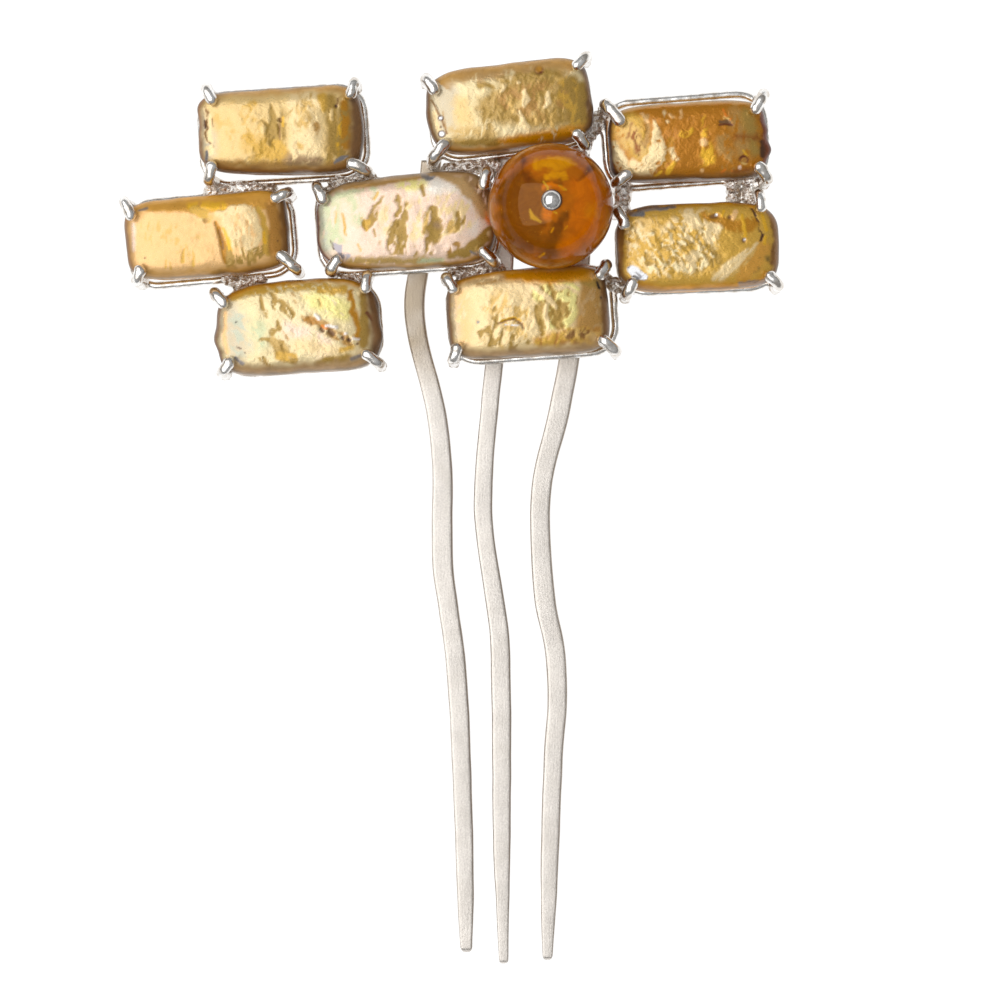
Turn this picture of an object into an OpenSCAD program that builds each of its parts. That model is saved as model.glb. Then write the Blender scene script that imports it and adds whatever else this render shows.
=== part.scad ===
// Bun hairpin: eight brick-shaped pearls in wire claw settings and one drilled amber ball on
// a pin, all carried by a soldered silver frame with three wavy tines. It lies on the flat
// backs of the tines, ornament up, with the tines towards -Y.

/* [Tines] */
// Thickness of the square wire, from its flat back up
tine_t = 2.4; // [2.2:0.1:3]
// Thickness of a tine at its tip
tip_t = 1.5; // [1:0.1:2]
// Length over which a tine thins towards its tip
thin_len = 24; // [10:1:40]
// Steps along a tine's outline
tine_steps = 44; // [24:4:72]

/* [Settings] */
// Diameter of the rail wire round a pearl
rail_d = 1; // [0.8:0.05:1.2]
// Radius of a rail's corners
rail_bend = 3; // [2:0.25:4]
// Diameter of the claw wire
claw_d = 1.2; // [1:0.05:1.3]
// Radius of a claw's bend over its pearl
claw_bend = 1.05; // [0.8:0.05:1.15]
// Diameter of a claw's balled end
claw_tip_d = 1.34; // [1.25:0.01:1.4]
// Diameter of the link from a rail out to a claw
spur_d = 0.84; // [0.7:0.02:0.86]

/* [Pearls] */
// Height of the pearls' undersides
pearl_z = 3; // [3:0.1:3.4]
// Thickness of a pearl
pearl_t = 5.8; // [4.5:0.1:6]
// Fullness of the crown, 2 is round and 6 is boxy
crown = 3.4; // [2.5:0.1:5]
// Fullness of the underside
belly = 4.5; // [3:0.1:6]
// Depth of the shallow dents in the crown
dent = 0.16; // [0:0.02:0.3]
// Play between a pearl and its claws
play = 0.06; // [0.04:0.01:0.15]

/* [Ball] */
// Diameter of the amber ball
ball_d = 14; // [12:0.2:14.4]
// Height of the ball's centre
ball_z = 10.2; // [10:0.1:11]
// Bore of the ball
bore_d = 1.4; // [1.2:0.1:2]
// Diameter of the pin's shaft
pin_d = 1.1; // [0.8:0.1:1.1]
// Diameter of the pin's domed head
head_d = 2.3; // [2:0.1:3]
// Rise of the domed head
head_rise = 0.8; // [0.5:0.1:1]
// Play between pin and ball seat
pin_play = 0.05; // [0.04:0.01:0.1]

/* [Hidden] */
$fn = 48;

// Columns of the tables of pearls and rails; the last three are a pearl's alone
X = 0; Y = 1; LEN = 2; WID = 3; TURN = 4; CORNER = 5; TAPER = 6; BOW = 7;
PEARLS = [
    // x, y, length, width, turn, corner fullness, taper, bow
    [-19.5, 43.2, 18.3, 9.6, 1.7, 5.6, 0.07, 0.2],
    [-27.7, 31.4, 18.4, 9.1, 5.2, 5.5, 0.02, 0.2],
    [-17.4, 21.2, 18.4, 10.5, 4.1, 4, 0.02, -0.4],
    [-5.3, 33, 20.2, 10.6, 4.3, 3.8, 0.07, 0],
    [6.5, 46, 18.5, 9.8, 6.6, 4.4, 0.02, 0.1],
    [26.5, 42.1, 17.8, 8.8, 2.6, 5.5, 0.03, -0.2],
    [8.5, 22.8, 18.2, 9.9, 4.6, 5, 0.04, -0.2],
    [27.7, 30.2, 18.3, 9.9, 2.2, 4.2, -0.01, -0.1],
];
// Rails, one under each pearl in the same order
RAILS = [
    // x, y, length, width, turn
    [-19.3, 43.1, 18.7, 10.3, 3.8],
    [-27.5, 31.4, 18.7, 9.5, 5.3],
    [-17.4, 21.15, 17.9, 9.4, 4.1],
    [-5.3, 33, 20.4, 10.4, 4.3],
    [6.5, 45.8, 18.6, 9.8, 6.6],
    [26.5, 42.5, 18.2, 9.7, 4.5],
    [8.9, 22.75, 19.1, 9.9, 4.2],
    [27.8, 30.2, 18.2, 9.6, 2.2],
];

pearl_sides = 28;
// Latitudes of a pearl's rings, closer together near its rim
LATS = [-68, -48, -30, -14, 0, 14, 30, 48, 68];
// Waves of the dents, in degrees per mm along and across a pearl
DENT_WAVES = [38, 52];

// Columns of the table of claws
TIP = 1; POST = 3;
CLAWS = [
    // pearl, tip x, tip y, post x, post y
    [1, -27, 46.6, -27.7, 47.9],
    [1, -11.4, 47.2, -11, 48.6],
    [1, -11.3, 39.4, -9.6, 38.7],
    [1, -27, 39, -27.4, 37.5],
    [2, -36.1, 33.6, -36.9, 35.1],
    [2, -19.8, 35.5, -18.5, 36.2],
    [2, -19.2, 29, -17.5, 27.5],
    [2, -35, 27.3, -35.5, 26.2],
    [3, -25.8, 23.7, -26.8, 24.9],
    [3, -9.8, 25.4, -9.6, 26.85],
    [3, -9.6, 17.9, -8.2, 16.9],
    [3, -25, 17, -25.9, 15.9],
    [4, -14.6, 35.4, -15.3, 36.9],
    [4, 3.5, 37, 3.9, 38.6],
    [4, 3.5, 29.5, 4.7, 28.4],
    [4, -13, 28.5, -13.7, 27.4],
    [5, -2, 47.7, -3, 49],
    [5, 14, 50.4, 15.1, 51.5],
    [5, 14, 42.6, 15, 41.4],
    [5, -0.9, 41.5, -2.3, 39.9],
    [6, 18.8, 44.1, 17.2, 46.1],
    [6, 34, 45.4, 35, 47.2],
    [6, 34.5, 38.9, 35.4, 37.7],
    [6, 19.5, 38.1, 18.4, 37.2],
    [7, 0.1, 25.4, -0.7, 26.6],
    [7, 16.6, 26.9, 17.3, 28.1],
    [7, 16.9, 19.5, 18.4, 18.3],
    [7, 0.5, 18.6, 0.1, 17.3],
    [8, 19.4, 32.5, 18.5, 34.2],
    [8, 34.6, 34.4, 34.5, 36],
    [8, 35.7, 26.7, 36.7, 25.7],
    [8, 20.2, 25.9, 19.6, 24.7],
];

// Solder bars that join the rails side by side
BARS = [
    // from x, from y, to x, to y, diameter
    [-27, 36.9, -21, 37.2, 1.7],
    [-25.4, 27, -25.2, 25.25, 1.4],
    [-22.1, 27.3, -21.9, 25.5, 1.3],
    [-13.4, 38.4, -13.3, 37.5, 1.3],
    [-0.5, 39.55, 4.6, 39.8, 1.7],
    [0.3, 27.75, 5.4, 27.85, 1.5],
    [17.4, 46.3, 16.3, 44.6, 1.5],
    [16.3, 44.6, 15.4, 42.4, 1.4],
    [17.6, 26.5, 20, 25.6, 1.5],
    [19.3, 37.3, 19.2, 34.5, 1.8],
    [31.8, 37.9, 31.9, 35, 1.5],
    [34.3, 38.2, 34.2, 35.1, 1.6],
];

// Centre line of each tine, from its hidden root to its tip
LEFT_TINE = [
    // y, x, width
    [40.4, -2.5, 2.3],
    [31, -3.5, 2.3],
    [24.4, -4.43, 2.35],
    [19.8, -4, 2.3],
    [13, -2.23, 2.3],
    [6.2, -1.3, 2.3],
    [-1.5, -1.25, 2.4],
    [-6.4, -1.15, 2.4],
    [-10.9, -0.52, 2.3],
    [-18.9, 0.45, 2.3],
    [-32.6, 1.1, 2.15],
    [-44, 1.4, 1.9],
    [-50.3, 1.48, 1.3],
];
MIDDLE_TINE = [
    // y, x, width
    [43.6, 5.4, 2.1],
    [30, 5.9, 2.1],
    [17.3, 4.69, 2.1],
    [8.4, 3.81, 2.05],
    [1.6, 3.41, 2.15],
    [-3, 3.72, 2.1],
    [-8.7, 4.58, 2.2],
    [-13.2, 5.21, 2.25],
    [-18.9, 5.46, 2.28],
    [-27, 5.55, 2.22],
    [-38.3, 5.56, 2],
    [-45, 5.66, 1.5],
    [-51.6, 5.75, 1.05],
];
RIGHT_TINE = [
    // y, x, width
    [44.6, 14.4, 2.4],
    [30, 14.5, 2.4],
    [17.8, 13.25, 2.4],
    [10.7, 11.88, 2.5],
    [3.9, 10.22, 2.35],
    [-1.5, 9.97, 2.3],
    [-9.8, 10.5, 2.45],
    [-15.5, 11.59, 2.35],
    [-20.8, 11.93, 2.25],
    [-27, 11.51, 2.2],
    [-38.3, 11.08, 2.1],
    [-45, 10.92, 1.75],
    [-51.2, 10.76, 1.1],
];
TINES = [LEFT_TINE, MIDDLE_TINE, RIGHT_TINE];
tip_steps = 8;

// The rail wire lies on the tines and is let into them by the depth of its solder
solder = 0.05;
rail_z = tine_t + rail_d / 2 - solder;
// A wire is a hair thicker in its bends, and its straight stretches reach this far into them
bend_swell = 0.04;
bend_lap = 0.1;
pearl_mid = pearl_z + pearl_t / 2;

// Place, seat and pin of the ball
ball_x = 11;
ball_y = 34.4;
bore_edge = sqrt(pow(ball_d / 2, 2) - pow(bore_d / 2, 2));
seat_z = 0.8;
seat_top = ball_z - bore_edge - play;
seat_d = 4.6;
seat_bar = 2.6;
seat_bar_top = 2.2;
rivet_d = 2.4;
rivet_t = 0.5;
head_z = ball_z + bore_edge + play;
head_r = (pow(head_d / 2, 2) + pow(head_rise, 2)) / (2 * head_rise);
// The shaft reaches this far into the head
pin_lap = 0.2;

// Rings and degrees between the points that are tried under a claw's end
touch_rings = 5;
touch_step = 30;
// A cut passes the solid by this margin, and the cut over the tips is this wide
over = 1;
tip_cut = 40;

silver = "silver";
amber = "chocolate";
pearl_gold = "wheat";

// Power that keeps the sign of its base
function spow(v, e) = sign(v) * pow(abs(v), e);

function turned(v, a) = [v.x * cos(a) - v.y * sin(a), v.x * sin(a) + v.y * cos(a)];

// Point of a pearl in plan: s is along and w across, both as shares from -1 to 1
function in_plan(p, s, w) =
    [p[X], p[Y]]
    + turned([s * p[LEN] / 2, w * p[WID] / 2 * (1 + p[TAPER] * s) + p[BOW] * s * s], p[TURN]);

// Point of a pearl's outline at angle a, shrunk to the share k
function outline(p, a, k) = in_plan(p, k * spow(cos(a), 2 / p[CORNER]), k * spow(sin(a), 2 / p[CORNER]));

// Share of a pearl's outline on which a point lies, 1 on the outline itself
function share(p, point) =
    let (v = turned(point - [p[X], p[Y]], -p[TURN]),
         s = v.x / (p[LEN] / 2),
         w = (v.y - p[BOW] * s * s) / (p[WID] / 2 * (1 + p[TAPER] * s)))
    pow(pow(abs(s), p[CORNER]) + pow(abs(w), p[CORNER]), 1 / p[CORNER]);

// Height of a pearl's smooth crown over a point
function crown_z(p, point) =
    pearl_mid + pearl_t / 2 * pow(1 - pow(min(share(p, point), 1), crown), 1 / crown);

// Depth of the dents at a point of a pearl, fading towards its rim
function dent_at(p, point, k) =
    let (v = turned(point - [p[X], p[Y]], -p[TURN]))
    dent * (1 - k) * (1 + sin(DENT_WAVES.x * v.x + 90 * p[TURN]) * cos(DENT_WAVES.y * v.y));

// Ring of points round a pearl at a latitude
function pearl_ring(p, lat) =
    let (full = lat < 0 ? belly : crown, k = pow(cos(lat), 2 / full))
    [for (i = [0:pearl_sides - 1])
        let (point = outline(p, i * 360 / pearl_sides, k))
        [point.x, point.y,
         pearl_mid + pearl_t / 2 * spow(sin(lat), 2 / full) - (lat > 0 ? dent_at(p, point, k) : 0)]];

// Lowest height at which a ball of radius r over a point touches the crown of a pearl
function touch_z(p, point, r) =
    max([for (d = [0:r / touch_rings:r], a = [0:touch_step:360 - touch_step])
        crown_z(p, point + d * [cos(a), sin(a)]) + sqrt(max(0, r * r - d * d))]);

// Middle of the bend at a corner of a rail, where the corner is named by its signs along and across
function rail_corner(r, c) =
    let (inset = rail_bend * (1 - cos(45)))
    [r[X], r[Y]] + turned([c.x * (r[LEN] / 2 - inset), c.y * (r[WID] / 2 - inset)], r[TURN]);

// Slope of column c at row i of a tine's table, and the column's smooth value at y
function slope(rows, i, c) =
    let (a = max(i - 1, 0), b = min(i + 1, len(rows) - 1))
    (rows[b][c] - rows[a][c]) / (rows[b][0] - rows[a][0]);
function smooth(rows, y, c) =
    let (i = max([for (j = [0:len(rows) - 2]) if (y <= rows[j][0]) j]),
         h = rows[i + 1][0] - rows[i][0],
         t = (y - rows[i][0]) / h)
    (2 * t * t * t - 3 * t * t + 1) * rows[i][c] + (t * t * t - 2 * t * t + t) * h * slope(rows, i, c)
    + (3 * t * t - 2 * t * t * t) * rows[i + 1][c] + (t * t * t - t * t) * h * slope(rows, i + 1, c);

// Outline of a tine: down its left side, round its tip and up its right side
function tine_outline(rows) =
    let (top = rows[0][0],
         last = rows[len(rows) - 1],
         r = last[2] / 2,
         low = last[0] + r,
         ys = [for (i = [0:tine_steps]) top + (low - top) * i / tine_steps],
         left = [for (y = ys) [smooth(rows, y, 1) - smooth(rows, y, 2) / 2, y]],
         right = [for (y = ys) [smooth(rows, y, 1) + smooth(rows, y, 2) / 2, y]])
    concat(left,
           [for (i = [1:tip_steps - 1])
               [last[1] - r * cos(i * 180 / tip_steps), low - r * sin(i * 180 / tip_steps)]],
           [for (i = [tine_steps:-1:0]) right[i]]);

// Straight round wire between two points at one height
module rod(from, to, d, z)
    translate([from.x, from.y, z])
        rotate([0, 90, atan2(to.y - from.y, to.x - from.x)]) cylinder(d = d, h = norm(to - from));

// Bend of a wire about the Z axis, from the X axis through an angle
module bend(r, d, angle)
    rotate_extrude(angle = angle) translate([r, 0]) circle(d = d + bend_swell);

// Rail: a rounded rectangle of round wire
module rail(r) translate([r[X], r[Y], rail_z]) rotate(r[TURN])
    for (i = [0:3]) {
        ahead = (i % 2 == 0 ? [r[LEN], r[WID]] : [r[WID], r[LEN]]) / 2;
        rotate(90 * i) {
            translate([ahead.x - rail_bend, ahead.y - rail_bend]) bend(rail_bend, rail_d, 90);
            rod([ahead.x, rail_bend - bend_lap - ahead.y], [ahead.x, ahead.y - rail_bend + bend_lap],
                rail_d, 0);
        }
    }

// One claw: a post beside the pearl, a bend, and a finger with a balled end on the crown
module claw(p, tip, post) {
    reach = norm(tip - post);
    top = touch_z(p, tip, claw_tip_d / 2) + play;
    foot = rail_z - claw_d / 2;
    translate([post.x, post.y, 0]) rotate(atan2(tip.y - post.y, tip.x - post.x)) {
        translate([0, 0, foot]) cylinder(d = claw_d, h = top - claw_bend - foot + bend_lap);
        translate([claw_bend, 0, top - claw_bend]) rotate([90, 0, 0]) rotate(90)
            bend(claw_bend, claw_d, 90);
        translate([claw_bend - bend_lap, 0, top]) rotate([0, 90, 0])
            cylinder(d = claw_d, h = reach - claw_bend + bend_lap);
        translate([reach, 0, top]) sphere(d = claw_tip_d);
    }
}

// Wire setting of pearl i: its rail, its claws and the spurs that carry them
module setting(i) {
    rail(RAILS[i]);
    for (c = CLAWS) if (c[0] == i + 1) {
        tip = [c[TIP], c[TIP + 1]];
        post = [c[POST], c[POST + 1]];
        side = turned(post - [RAILS[i][X], RAILS[i][Y]], -RAILS[i][TURN]);
        claw(PEARLS[i], tip, post);
        rod(rail_corner(RAILS[i], [sign(side.x), sign(side.y)]), post, spur_d, rail_z);
    }
}

// Three tines with flat backs, thinned from above towards their tips
module tines() {
    low = min([for (rows = TINES) rows[len(rows) - 1][0]]);
    difference() {
        for (rows = TINES) linear_extrude(tine_t) polygon(tine_outline(rows));
        translate([-tip_cut / 2, 0, 0]) rotate([90, 0, 90]) linear_extrude(tip_cut)
            polygon([[low + thin_len, tine_t], [low, tip_t], [low - over, tip_t],
                     [low - over, tine_t + over], [low + thin_len, tine_t + over]]);
    }
}

// Seat under the ball: a boss on a cross bar between two tines, bored for the pin
module ball_seat() {
    from_x = smooth(MIDDLE_TINE, ball_y, 1);
    to_x = smooth(RIGHT_TINE, ball_y, 1);
    difference() {
        union() {
            translate([from_x, ball_y - seat_bar / 2, seat_z])
                cube([to_x - from_x, seat_bar, seat_bar_top - seat_z]);
            translate([ball_x, ball_y, seat_z]) cylinder(d = seat_d, h = seat_top - seat_z);
        }
        translate([ball_x, ball_y, 0]) cylinder(d = pin_d + 2 * pin_play, h = 2 * seat_top);
    }
}

module silver_frame() color(silver) {
    tines();
    ball_seat();
    for (i = [0:len(PEARLS) - 1]) setting(i);
    for (b = BARS) rod([b[0], b[1]], [b[2], b[3]], b[4], rail_z);
}

module bead_pin() color(silver) translate([ball_x, ball_y, 0]) {
    low = seat_z - pin_play - rivet_t;
    translate([0, 0, low]) cylinder(d = rivet_d, h = rivet_t);
    translate([0, 0, low]) cylinder(d = pin_d, h = head_z + pin_lap - low);
    translate([0, 0, head_z + head_rise - head_r]) intersection() {
        sphere(r = head_r);
        translate([0, 0, head_r - head_rise]) cylinder(d = 2 * head_d, h = head_r);
    }
}

module amber_ball() color(amber) translate([ball_x, ball_y, ball_z]) difference() {
    sphere(d = ball_d);
    cylinder(d = bore_d, h = 2 * ball_d, center = true);
}

// One brick-shaped pearl: a rounded slab with a dented crown
module pearl(i) {
    p = PEARLS[i];
    n = pearl_sides;
    rings = [for (lat = LATS) each pearl_ring(p, lat)];
    count = len(rings);
    levels = len(LATS);
    color(pearl_gold) polyhedron(
        points = concat(rings, [[p[X], p[Y], pearl_z], [p[X], p[Y], pearl_z + pearl_t - dent]]),
        faces = concat(
            [for (j = [0:n - 1]) [count, (j + 1) % n, j]],
            [for (k = [0:levels - 2], j = [0:n - 1]) [k * n + j, k * n + (j + 1) % n, (k + 1) * n + j]],
            [for (k = [0:levels - 2], j = [0:n - 1])
                [k * n + (j + 1) % n, (k + 1) * n + (j + 1) % n, (k + 1) * n + j]],
            [for (j = [0:n - 1]) [count + 1, (levels - 1) * n + j, (levels - 1) * n + (j + 1) % n]]));
}

silver_frame();
bead_pin();
amber_ball();
for (i = [0:len(PEARLS) - 1])
    pearl(i);
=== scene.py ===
import math

import bpy
import numpy as np
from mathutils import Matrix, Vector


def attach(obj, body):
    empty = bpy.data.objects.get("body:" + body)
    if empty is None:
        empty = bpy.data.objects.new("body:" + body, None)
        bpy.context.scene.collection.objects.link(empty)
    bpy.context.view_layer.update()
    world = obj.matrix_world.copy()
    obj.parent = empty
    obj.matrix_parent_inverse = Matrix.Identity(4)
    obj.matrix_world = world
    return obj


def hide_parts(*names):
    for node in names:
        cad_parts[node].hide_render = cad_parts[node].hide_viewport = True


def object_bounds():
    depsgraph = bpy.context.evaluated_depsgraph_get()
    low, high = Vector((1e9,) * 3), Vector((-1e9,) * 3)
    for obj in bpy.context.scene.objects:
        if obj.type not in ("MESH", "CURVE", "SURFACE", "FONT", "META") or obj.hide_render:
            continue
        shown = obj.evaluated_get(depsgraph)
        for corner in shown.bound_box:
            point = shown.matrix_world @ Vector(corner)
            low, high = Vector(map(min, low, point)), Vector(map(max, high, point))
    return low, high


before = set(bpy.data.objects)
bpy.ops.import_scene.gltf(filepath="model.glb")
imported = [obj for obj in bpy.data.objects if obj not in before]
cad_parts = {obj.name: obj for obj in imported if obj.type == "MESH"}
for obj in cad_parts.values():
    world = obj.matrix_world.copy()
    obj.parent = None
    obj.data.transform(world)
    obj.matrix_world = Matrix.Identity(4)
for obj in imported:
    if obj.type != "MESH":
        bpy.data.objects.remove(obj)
cad_box = [list(corner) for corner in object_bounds()]

# Lengths below are in mm, in the frame of the solids, until a mesh is made
MM = 0.001
# The photograph: mm per pixel on the floor, the point under its middle, the camera's height
PIXEL, MIDDLE, CAMERA_Z, FRAME_PX, SENSOR = 0.115, (5.35, 1.6), 350.0, 1000, 36.0

# ------------------------------------------------------------------ sizes shared with the solids
# Columns of the next two tables; a rail has the first five
X, Y, LEN, WID, TURN, CORNER, TAPER, BOW = range(8)
PEARLS = [
    (-19.5, 43.2, 18.3, 9.6, 1.7, 5.6, 0.07, 0.2),
    (-27.7, 31.4, 18.4, 9.1, 5.2, 5.5, 0.02, 0.2),
    (-17.4, 21.2, 18.4, 10.5, 4.1, 4, 0.02, -0.4),
    (-5.3, 33, 20.2, 10.6, 4.3, 3.8, 0.07, 0),
    (6.5, 46, 18.5, 9.8, 6.6, 4.4, 0.02, 0.1),
    (26.5, 42.1, 17.8, 8.8, 2.6, 5.5, 0.03, -0.2),
    (8.5, 22.8, 18.2, 9.9, 4.6, 5, 0.04, -0.2),
    (27.7, 30.2, 18.3, 9.9, 2.2, 4.2, -0.01, -0.1),
]
RAILS = [
    (-19.3, 43.1, 18.7, 10.3, 3.8),
    (-27.5, 31.4, 18.7, 9.5, 5.3),
    (-17.4, 21.15, 17.9, 9.4, 4.1),
    (-5.2, 33, 20.1, 10.4, 4.3),
    (6.5, 45.8, 18.0, 9.5, 6.6),
    (26.5, 42.5, 18.2, 9.7, 4.5),
    (9.05, 22.75, 18.7, 9.7, 4.2),
    (27.8, 30.2, 17.8, 9.3, 2.2),
]
# Claws, a row for each pearl: x, y of the tip and of the post
CLAWS = """
-27 46.6 -27.7 47.9, -11.4 47.2 -11 48.6, -11.3 39.4 -9.6 38.7, -27 39 -27.4 37.5
-36.1 33.6 -36.9 35.1, -19.8 35.5 -18.5 36.2, -19.2 29 -17.5 27.5, -35 27.3 -35.5 26.2
-25.8 23.7 -26.8 24.9, -9.8 25.4 -9.6 26.85, -9.6 17.9 -8.2 16.9, -25 17 -25.9 15.9
-14.6 35.4 -15.3 36.9, 3.5 37 3.9 38.6, 3.5 29.5 4.7 28.4, -13 28.5 -13.7 27.4
-2 47.7 -3 49, 14 50.4 15.1 51.5, 14 42.6 15 41.4, -.9 41.5 -2.3 39.9
18.8 44.1 17.2 46.1, 34 45.4 35 47.2, 34.5 38.9 35.4 37.7, 19.5 38.1 18.4 37.2
.1 25.4 -.7 26.6, 16.6 26.9 17.3 28.1, 16.9 19.5 18.4 18.3, .5 18.6 .1 17.3
19.4 32.5 18.5 34.2, 34.6 34.4 34.5 36, 35.7 26.7 36.7 25.7, 20.2 25.9 19.6 24.7
"""
# Solder: the pearl whose setting carries it, then points x, y, half width, half height
SOLDER = """
2: -27.6 36.8 .8 .8, -24 37.1 .95 .8, -20.8 37.2 .75 .7
3: -26 26.9 .6 .6, -24.5 26.3 .9 .7, -21.6 26.9 .7 .6
4: -13.6 37.9 .7 .7, -11.2 37.9 .8 .7, -9.4 38.4 .6 .6
3: -12.2 26.9 .7 .7, -10.2 26.9 .75 .7
4: -.7 39.4 .75 .7, 2 39.7 .95 .75, 4.8 39.8 .8 .7
7: .1 27.7 .7 .7, 2.6 27.8 .8 .7, 5.5 27.9 .7 .7
6: 17.6 46.2 .6 .6, 16.6 45.2 .85 .55, 15.9 43.6 .85 .55, 15.2 41.9 .7 .55
7: 17.5 26.6 .8 .7, 18.8 26.2 .75 .7, 20 25.5 .75 .7
6: 19.4 37.4 1.05 .8, 19.3 35.8 1.0 .75, 19.2 34.4 1.05 .8
6: 31.9 38 .8 .75, 31.9 36.5 .8 .7, 31.9 34.9 .8 .75
6: 34.4 38.2 1.1 .8, 34 36.6 1.2 .7, 34.3 35 1.1 .8
"""
# Centre lines of the tines, from top to tip: y, x, width
TINES = {
    "left": [
        (40.4, -2.5, 2.3), (31, -3.5, 2.3), (24.4, -4.43, 2.35), (19.8, -4, 2.3),
        (13, -2.23, 2.3), (6.2, -1.3, 2.3), (-1.5, -1.25, 2.4), (-6.4, -1.15, 2.4),
        (-10.9, -0.52, 2.3), (-18.9, 0.45, 2.3), (-32.6, 1.1, 2.15), (-44, 1.4, 1.9),
        (-50.3, 1.48, 1.3)],
    "middle": [
        (43.6, 5.4, 2.1), (30, 5.9, 2.1), (17.3, 4.69, 2.1), (8.4, 3.81, 2.05),
        (1.6, 3.41, 2.15), (-3, 3.72, 2.1), (-8.7, 4.58, 2.2), (-13.2, 5.21, 2.25),
        (-18.9, 5.46, 2.28), (-27, 5.55, 2.22), (-38.3, 5.56, 2), (-45, 5.66, 1.5),
        (-51.6, 5.75, 1.05)],
    "right": [
        (44.6, 14.4, 2.4), (30, 14.5, 2.4), (17.8, 13.25, 2.4), (10.7, 11.88, 2.5),
        (3.9, 10.22, 2.35), (-1.5, 9.97, 2.3), (-9.8, 10.5, 2.45), (-15.5, 11.59, 2.35),
        (-20.8, 11.93, 2.25), (-27, 11.51, 2.2), (-38.3, 11.08, 2.1), (-45, 10.92, 1.75),
        (-51.2, 10.76, 1.1)],
}
TINE_T, TIP_T, THIN_LEN = 2.4, 1.5, 24.0
RAIL_D, RAIL_BEND, RAIL_Z = 1.0, 3.0, 2.85
# What the smoothing of a fused skin takes off a wire is added to a claw beforehand
FULL = 0.06
CLAW_D, CLAW_BEND, CLAW_TIP_D, SPUR_D = 1.2, 1.05, 1.34, 0.84
PEARL_Z, PEARL_T, CROWN, BELLY, PLAY = 3.0, 5.8, 3.4, 4.5, 0.06
PEARL_MID = PEARL_Z + PEARL_T / 2
BALL = (11.0, 34.4, 10.2)
BALL_D, BORE_D, PIN_D, PIN_PLAY, HEAD_D, HEAD_RISE = 14.0, 1.4, 1.1, 0.05, 2.3, 0.8
SEAT_Z, SEAT_D, SEAT_BAR, SEAT_BAR_TOP = 0.8, 4.6, 2.6, 2.2
BORE_EDGE = math.sqrt((BALL_D / 2) ** 2 - (BORE_D / 2) ** 2)
SEAT_TOP = BALL[2] - BORE_EDGE - PLAY
HEAD_Z = BALL[2] + BORE_EDGE + PLAY

# ------------------------------------------------------------------ sizes of the look
# Squareness of a tine's section; voxels and smoothing rounds of the fused skins; height of the
# solder's lumps, and how far round a claw's foot or a bar the skin is lumpy
FLATNESS, VOXEL, SMOOTHINGS, LUMP, CLAW_REACH, BAR_REACH = 9, 0.14, 7, 0.4, 0.9, 1.2
# Side of the floor in m, and how far it lies below the hairpin
FLOOR, FLOOR_DROP = 10, 0.02
# Light panel: size, place and aim in m
PANEL, PANEL_AT, PANEL_AIM, PANEL_WATTS = (1.2, 0.98), (-0.4, 0.02, 0.69), (0, 0.02, 0), 5.7
# Grey of the surroundings from bottom to top
SKY = ((0.0, 0.16), (0.3, 0.27), (0.62, 0.36), (1.0, 0.45))


# ------------------------------------------------------------------ small tools
def to_px(x, y, z):
    """Photograph pixel in which a point in mm is seen."""
    s = PIXEL * (CAMERA_Z - z) / CAMERA_Z
    return FRAME_PX / 2 + (x - MIDDLE[0]) / s, FRAME_PX / 2 - (y - MIDDLE[1]) / s


def turned(x, y, angle):
    """Place turned round the origin by degrees."""
    a = math.radians(angle)
    return x * math.cos(a) - y * math.sin(a), x * math.sin(a) + y * math.cos(a)


def spow(v, e):
    """Power of a size, with its sign kept."""
    return np.sign(v) * np.abs(v) ** e


def ramp(v, low, high):
    """0 below low, 1 above high, smooth between."""
    t = np.clip((v - low) / (high - low), 0, 1)
    return t * t * (3 - 2 * t)


def scatter(ix, iy, iz, seed):
    """Repeatable value from 0 to 1 for each whole-number place: large odd numbers stir its bits."""
    n = (ix.astype(np.int64) * 374761393 + iy.astype(np.int64) * 668265263
         + iz.astype(np.int64) * 982451653 + seed * 1274126177) & 0xFFFFFFFF
    n = ((n ^ (n >> 13)) * 1274126177) & 0xFFFFFFFF
    n = ((n ^ (n >> 15)) * 974634777) & 0xFFFFFFFF
    return ((n ^ (n >> 16)) & 0xFFFF) / 65535.0


def noise(x, y, seed, z=None):
    """Smooth noise from 0 to 1 with cells of one unit."""
    x, y = np.broadcast_arrays(np.asarray(x, float), np.asarray(y, float))
    z = np.zeros_like(x) if z is None else np.asarray(z, float)
    ix, iy, iz = np.floor(x), np.floor(y), np.floor(z)
    fx, fy, fz = [f * f * (3 - 2 * f) for f in (x - ix, y - iy, z - iz)]
    total = 0
    for dx, wx in ((0, 1 - fx), (1, fx)):
        for dy, wy in ((0, 1 - fy), (1, fy)):
            for dz, wz in ((0, 1 - fz), (1, fz)):
                total = total + wx * wy * wz * scatter(ix + dx, iy + dy, iz + dz, seed)
    return total


def noise_at(points, cell, seed):
    """The same at points in mm, with cells of a given length, width and height."""
    return noise(points[:, 0] / cell[0], points[:, 1] / cell[1], seed, points[:, 2] / cell[2])


def layers(x, y, seed, count=3):
    """Noise in several sizes, still from 0 to 1."""
    total, weight = 0, 0
    for i in range(count):
        total = total + noise(x * 2 ** i, y * 2 ** i, seed + i) / 2 ** i
        weight += 1 / 2 ** i
    return total / weight


def laid(tint, mask, paint):
    """Colours with paint laid over them where the mask is 1."""
    return tint * (1 - mask[:, None]) + paint * mask[:, None]


def linear(rgb):
    """Colour of the photograph as Blender takes it."""
    c = np.asarray(rgb, float)
    return np.where(c <= 0.04045, c / 12.92, ((c + 0.055) / 1.055) ** 2.4)


def placed(name, data):
    obj = bpy.data.objects.new(name, data)
    bpy.context.scene.collection.objects.link(obj)
    return obj


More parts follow.
